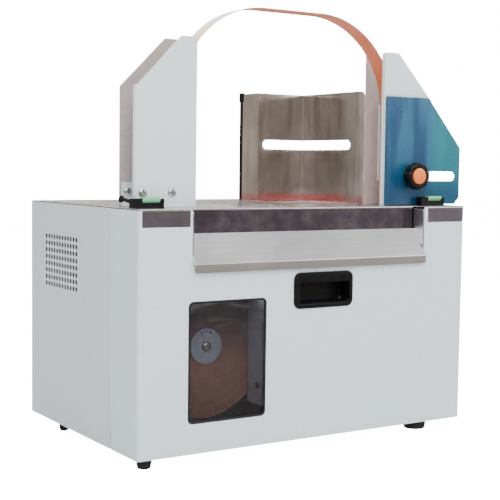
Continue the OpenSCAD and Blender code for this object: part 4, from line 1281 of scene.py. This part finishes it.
@dataclass
class SideGuide:
    """Side guide under blue film, with its clamp knob."""

    y: float = 48.75
    x0: float = 158.0
    x1: float = 305.5
    z0: float = 333.0
    z1: float = 492.5
    knob: tuple[float, float] = (206.0, 375.5)
    lobes: int = 8

    def build(self, maker: Maker) -> None:
        """Builds the plate, the lobed knob and its cap."""
        outline = [(self.x0, self.z0), (self.x1 - 10, self.z0), (self.x1, self.z0 + 10), (self.x1, 419),
                   (240.3, self.z1), (self.x0, self.z1)]
        kx, kz = self.knob
        slot = loop_rect(kx - 7.2, kx + 89.5, kz - 7.2, kz + 7.2, 7.15, 10)
        loops = [round_corners(np.array(outline), [2, 5, 5, 5, 5, 2], 5), slot]
        maker.piece("film_guide_plate", stand_front(plate(loops, 1.5, 0.3), self.y), "guide", "blue_film",
                    ["side_guide"])
        profile = [(0, 31.2), (11.0, 31.2), (12.1, 31.0), (12.4, 27.2), (13.2, 26.2), (14.6, 26.0),
                   (17.2, 26.0),
                   (18.8, 26.4), (19.7, 27.4), (20.0, 29.0), (20.0, 37.5), (19.6, 39.4), (18.2, 40.7),
                   (16.0, 41.0),
                   (13.6, 41.2), (13.0, 42.0), (13.0, 47.0), (12.4, 47.7), (4.0, 47.7), (4.0, 64.6),
                   (3.4, 65.3), (0, 65.3)]
        def lobed(r: Array, h: Array, a: Array) -> tuple[Array, Array]:
            """Radius less a smooth scallop between lobes, only on the knob's rim."""
            dip = (0.5 - 0.5 * np.cos(self.lobes * a)) ** 3 * 1.9
            return np.where(r > 14.0, r - dip * np.clip((r - 14) / 5, 0, 1), r), h
        solid = turned([(r, h) for r, h in profile], (kx, 0, kz), Axis.BACK, 128, lobed)
        maker.piece("clamp_knob", solid, "guide_knob", "black_plastic", ["guide_knob"])
        cap = [(0, 31.0), (11.7, 31.0), (11.95, 30.6), (11.95, 25.6), (11.5, 24.7), (10.4, 24.1), (8.0, 23.6),
               (0, 23.4)]
        maker.piece("clamp_knob_cap", turned(cap, (kx, 0, kz), Axis.BACK, 64), "guide_knob", "orange_plastic",
                    ["guide_knob_cap"])


@dataclass
class BackStop:
    """Polished back stop: one sheet folded three times, with one long slot round its corner."""

    z0: float = 332.4
    z1: float = 502.0
    slot_z: float = 421.5
    slot_r: float = 7.2

    def build(self, maker: Maker) -> None:
        """Builds the folded sheet, then its edge trim and clamp knob."""
        fold = Fold([(66.25, 305), (66.25, 255.75), (154.75, 255.75), (154.75, 110.75),
                     (166.5, 110.75)], 1.6, 6)
        outline = round_corners(np.array([(0, self.z0), (fold.length, self.z0), (fold.length, self.z1),
                                          (0, self.z1)]),
                                [1, 3, 6, 1], 5)
        s0 = fold.bends[6] + 9
        s1 = fold.bends[14] - 16.5
        slot = loop_rect(s0, s1, self.slot_z - self.slot_r, self.slot_z + self.slot_r, self.slot_r - 0.05, 10)
        sheet = fold_plan(plate([outline, slot], 1.5, 0.35, fold.bends), fold)
        maker.piece("stop_sheet", sheet, "stop", "mirror_stainless", ["back_stop"])
        self.trim(maker)

    def trim(self, maker: Maker) -> None:
        """Edge trim: rounded rings stacked up the rear end of the left return, closed by a cap."""
        steps = [(1.5, 0.0), (1.3, 0.3), (1.3, 157.0), (0.3, 157.6), (0.0, 158.5), (0.0, 170.6), (0.3, 171.3),
                 (1.0, 171.6)]
        rings = []
        for d, dz in steps:
            loop = loop_rect(63.5 + d, 69.0 - d, 297 + d, 307 - d, 1.6 - d, 5)
            rings.append(np.column_stack([loop, np.full(len(loop), self.z0 + dz)]))
        maker.piece("stop_edge_trim", loft(np.stack(rings)), "stop", "black_plastic", ["stop_trim"])
        def lobed(r: Array, h: Array, a: Array) -> tuple[Array, Array]:
            """Radius less six smooth scallops on the rim."""
            return np.where(r > 9, r - (0.5 - 0.5 * np.cos(6 * a)) ** 2 * 1.4, r), h
        knob = [(0, -8.0), (2.6, -8.0), (3.0, -7.6), (3.0, 3.0), (11.4, 3.0), (12.6, 3.6), (13.0, 5.0),
                (13.0, 17.0),
                (12.5, 18.8), (11.2, 19.8), (9.6, 20.0), (0, 20.0)]
        maker.piece("stop_clamp_knob", turned(knob, (120, 322, TABLE_Z), Axis.UP, 96, lobed), "stop_knob",
                    "black_plastic", ["stop_knob"])


@dataclass
class Reel:
    """Tape roll, hub disc and centre screw behind the window."""

    x: float = -138.5
    z: float = 142.0
    y0: float = 62.0
    roll: float = 99.0
    core: float = 20.0
    width: float = 30.0
    disc: float = 24.5

    def build(self, maker: Maker) -> None:
        """Builds the roll with its slightly uneven turns, the disc with its holes, and the screw."""
        r = np.linspace(self.core, self.roll, 80)
        wave = 0.35 * (0.5 + 0.5 * np.sin(r * 1.9)) * (0.5 + 0.5 * np.sin(r * 0.37 + 1))
        front = np.column_stack([r, wave + 0.02])
        back = np.column_stack([r[::-1], self.width - wave[::-1] - 0.02])
        profile = np.concatenate([front[:1] * [1, 1], front, back, front[:1]])
        rolled = turned(profile, (self.x, self.y0, self.z), Axis.BACK, 160)
        verts, faces = rolled
        faces = [f for f in faces if len(f) == 4]
        maker.piece("wound_tape", (verts, faces), "reel", "kraft_paper", ["tape_roll"])
        loops = [loop_circle(self.x, self.z, self.disc, 96), loop_circle(self.x, self.z, 6.05, 32)]
        loops += [loop_circle(self.x + 20 * math.cos(math.radians(a)),
                              self.z + 20 * math.sin(math.radians(a)), 1.6, 16)
                  for a in (70, 90, 110)]
        maker.piece("hub_disc", stand_front(plate(loops, 3.0, 0.5), self.y0 - 1.5), "reel", "alu",
                    ["reel_front_disc"])
        screw = pan_head(6.8, 3.6, (self.x, self.y0 - 4, self.z), Axis.FRONT, 0.02)
        maker.piece("hub_screw", screw, "reel", "bright_screw", ["spindle_screw"])


# ---------------------------------------------------------------- stage

@dataclass
class Studio:
    """Floor, lights, surroundings and camera."""

    lens: float = 82.58
    place: tuple[float, float, float] = (-0.94075, -1.4476, 0.38986)
    yaw: float = 32.643
    pitch: float = 4.276
    roll: float = 0.773

    def build(self) -> None:
        """Sets up everything around the object."""
        self.floor()
        self.world()
        self.lights()
        self.camera()

    def floor(self) -> None:
        """Large plain pale floor, left out of mirror reflections."""
        mesh = bpy.data.meshes.new("studio_floor")
        s = 9.0
        mesh.from_pydata([(-s, -s, 0), (s, -s, 0), (s, s, 0), (-s, s, 0)], [], [(0, 1, 2, 3)])
        obj = bpy.data.objects.new("studio_floor", mesh)
        bpy.context.scene.collection.objects.link(obj)
        mat = bpy.data.materials.new("studio_floor")
        mat.use_nodes = True
        bsdf = mat.node_tree.nodes["Principled BSDF"]
        bsdf.inputs["Base Color"].default_value = (0.93, 0.93, 0.93, 1)
        bsdf.inputs["Roughness"].default_value = 0.9
        bsdf.inputs["Specular IOR Level"].default_value = 0.1
        net = Net(mat.node_tree)
        seen = net.put("ShaderNodeLightPath").outputs["Is Camera Ray"]
        bsdf.inputs["Emission Color"].default_value = (1, 1, 1, 1)
        net.feed(bsdf.inputs["Emission Strength"], net.math("MULTIPLY", seen, WHITE - 1.0))
        mesh.materials.append(mat)
        obj.visible_glossy = False

    def world(self) -> None:
        """Bright sky, darker and warm near the horizon for the mirrors; the camera sees plain white."""
        world = bpy.data.worlds.new("studio")
        bpy.context.scene.world = world
        world.use_nodes = True
        world.node_tree.nodes.clear()
        net = Net(world.node_tree)
        co = net.put("ShaderNodeTexCoord").outputs["Generated"]
        sep = net.put("ShaderNodeSeparateXYZ", i_0=co)
        up = sep.outputs[2]
        noise = net.noise(co, 3.2)
        warm = net.mix(net.span(noise, 0.35, 0.65, smooth=True), linear((104, 104, 102)),
                       linear((208, 198, 182)))
        sky = net.mix(net.span(up, 0.10, 0.42, smooth=True), warm, (0.86, 0.87, 0.88, 1.0))
        low = net.mix(net.span(up, -0.30, -0.75, smooth=True), sky, (0.62, 0.61, 0.60, 1.0))
        seen = net.put("ShaderNodeLightPath").outputs["Is Camera Ray"]
        color = net.mix(seen, low, (WHITE, WHITE, WHITE, 1.0))
        back = net.put("ShaderNodeBackground", i_Color=color, i_Strength=1.0)
        out = net.put("ShaderNodeOutputWorld")
        net.tree.links.new(back.outputs[0], out.inputs[0])

    def lights(self) -> None:
        """Large soft lights: one over the front left, one overhead, one from the front right, one behind."""
        for name, place, size, power in (("key", (-1.1, -2.1, 2.1), 1.8, 78.0),
                                         ("top", (0.1, 0.1, 2.6), 2.2, 42.0),
                                         ("fill", (1.7, -1.6, 1.3), 1.4, 16.0),
                                         ("rear", (0.6, 2.1, 1.9), 1.6, 26.0)):
            lamp = bpy.data.lights.new(name, "AREA")
            lamp.energy = power
            lamp.size = size
            obj = bpy.data.objects.new(name, lamp)
            obj.location = place
            aim = Vector((0, 0, 0.3)) - Vector(place)
            obj.rotation_euler = aim.to_track_quat("-Z", "Y").to_euler()
            bpy.context.scene.collection.objects.link(obj)

    def camera(self) -> None:
        """Camera from its yaw, pitch and roll: forward, right and up turned by the roll."""
        y, p, r = (math.radians(v) for v in (self.yaw, self.pitch, self.roll))
        forward = Vector((math.sin(y) * math.cos(p), math.cos(y) * math.cos(p), -math.sin(p)))
        right = Vector((math.cos(y), -math.sin(y), 0))
        up = right.cross(forward)
        side = right * math.cos(r) + up * math.sin(r)
        over = up * math.cos(r) - right * math.sin(r)
        cam = bpy.data.cameras.new("camera")
        cam.lens = self.lens
        cam.sensor_width = 36
        cam.clip_end = 60
        obj = bpy.data.objects.new("camera", cam)
        turn = Matrix((side, over, -forward)).transposed().to_4x4()
        obj.matrix_world = Matrix.Translation(Vector(self.place)) @ turn
        bpy.context.scene.collection.objects.link(obj)
        bpy.context.scene.camera = obj


def corners(box: object) -> list:
    """A box as plain lists of numbers."""
    return [[float(c) for c in point] for point in box]


def main() -> None:
    """Builds the stage and every sub-assembly in order."""
    logging.basicConfig(level=logging.INFO, format="%(message)s")
    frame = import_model()
    Studio().build()
    maker = Maker(frame)
    for part in (FrontCover(), Case(), Table(), Towers(), Arch(), SideGuide(), BackStop(), Reel()):
        part.build(maker)
    maker.keep_rest()


if __name__ == "__main__":
    main()
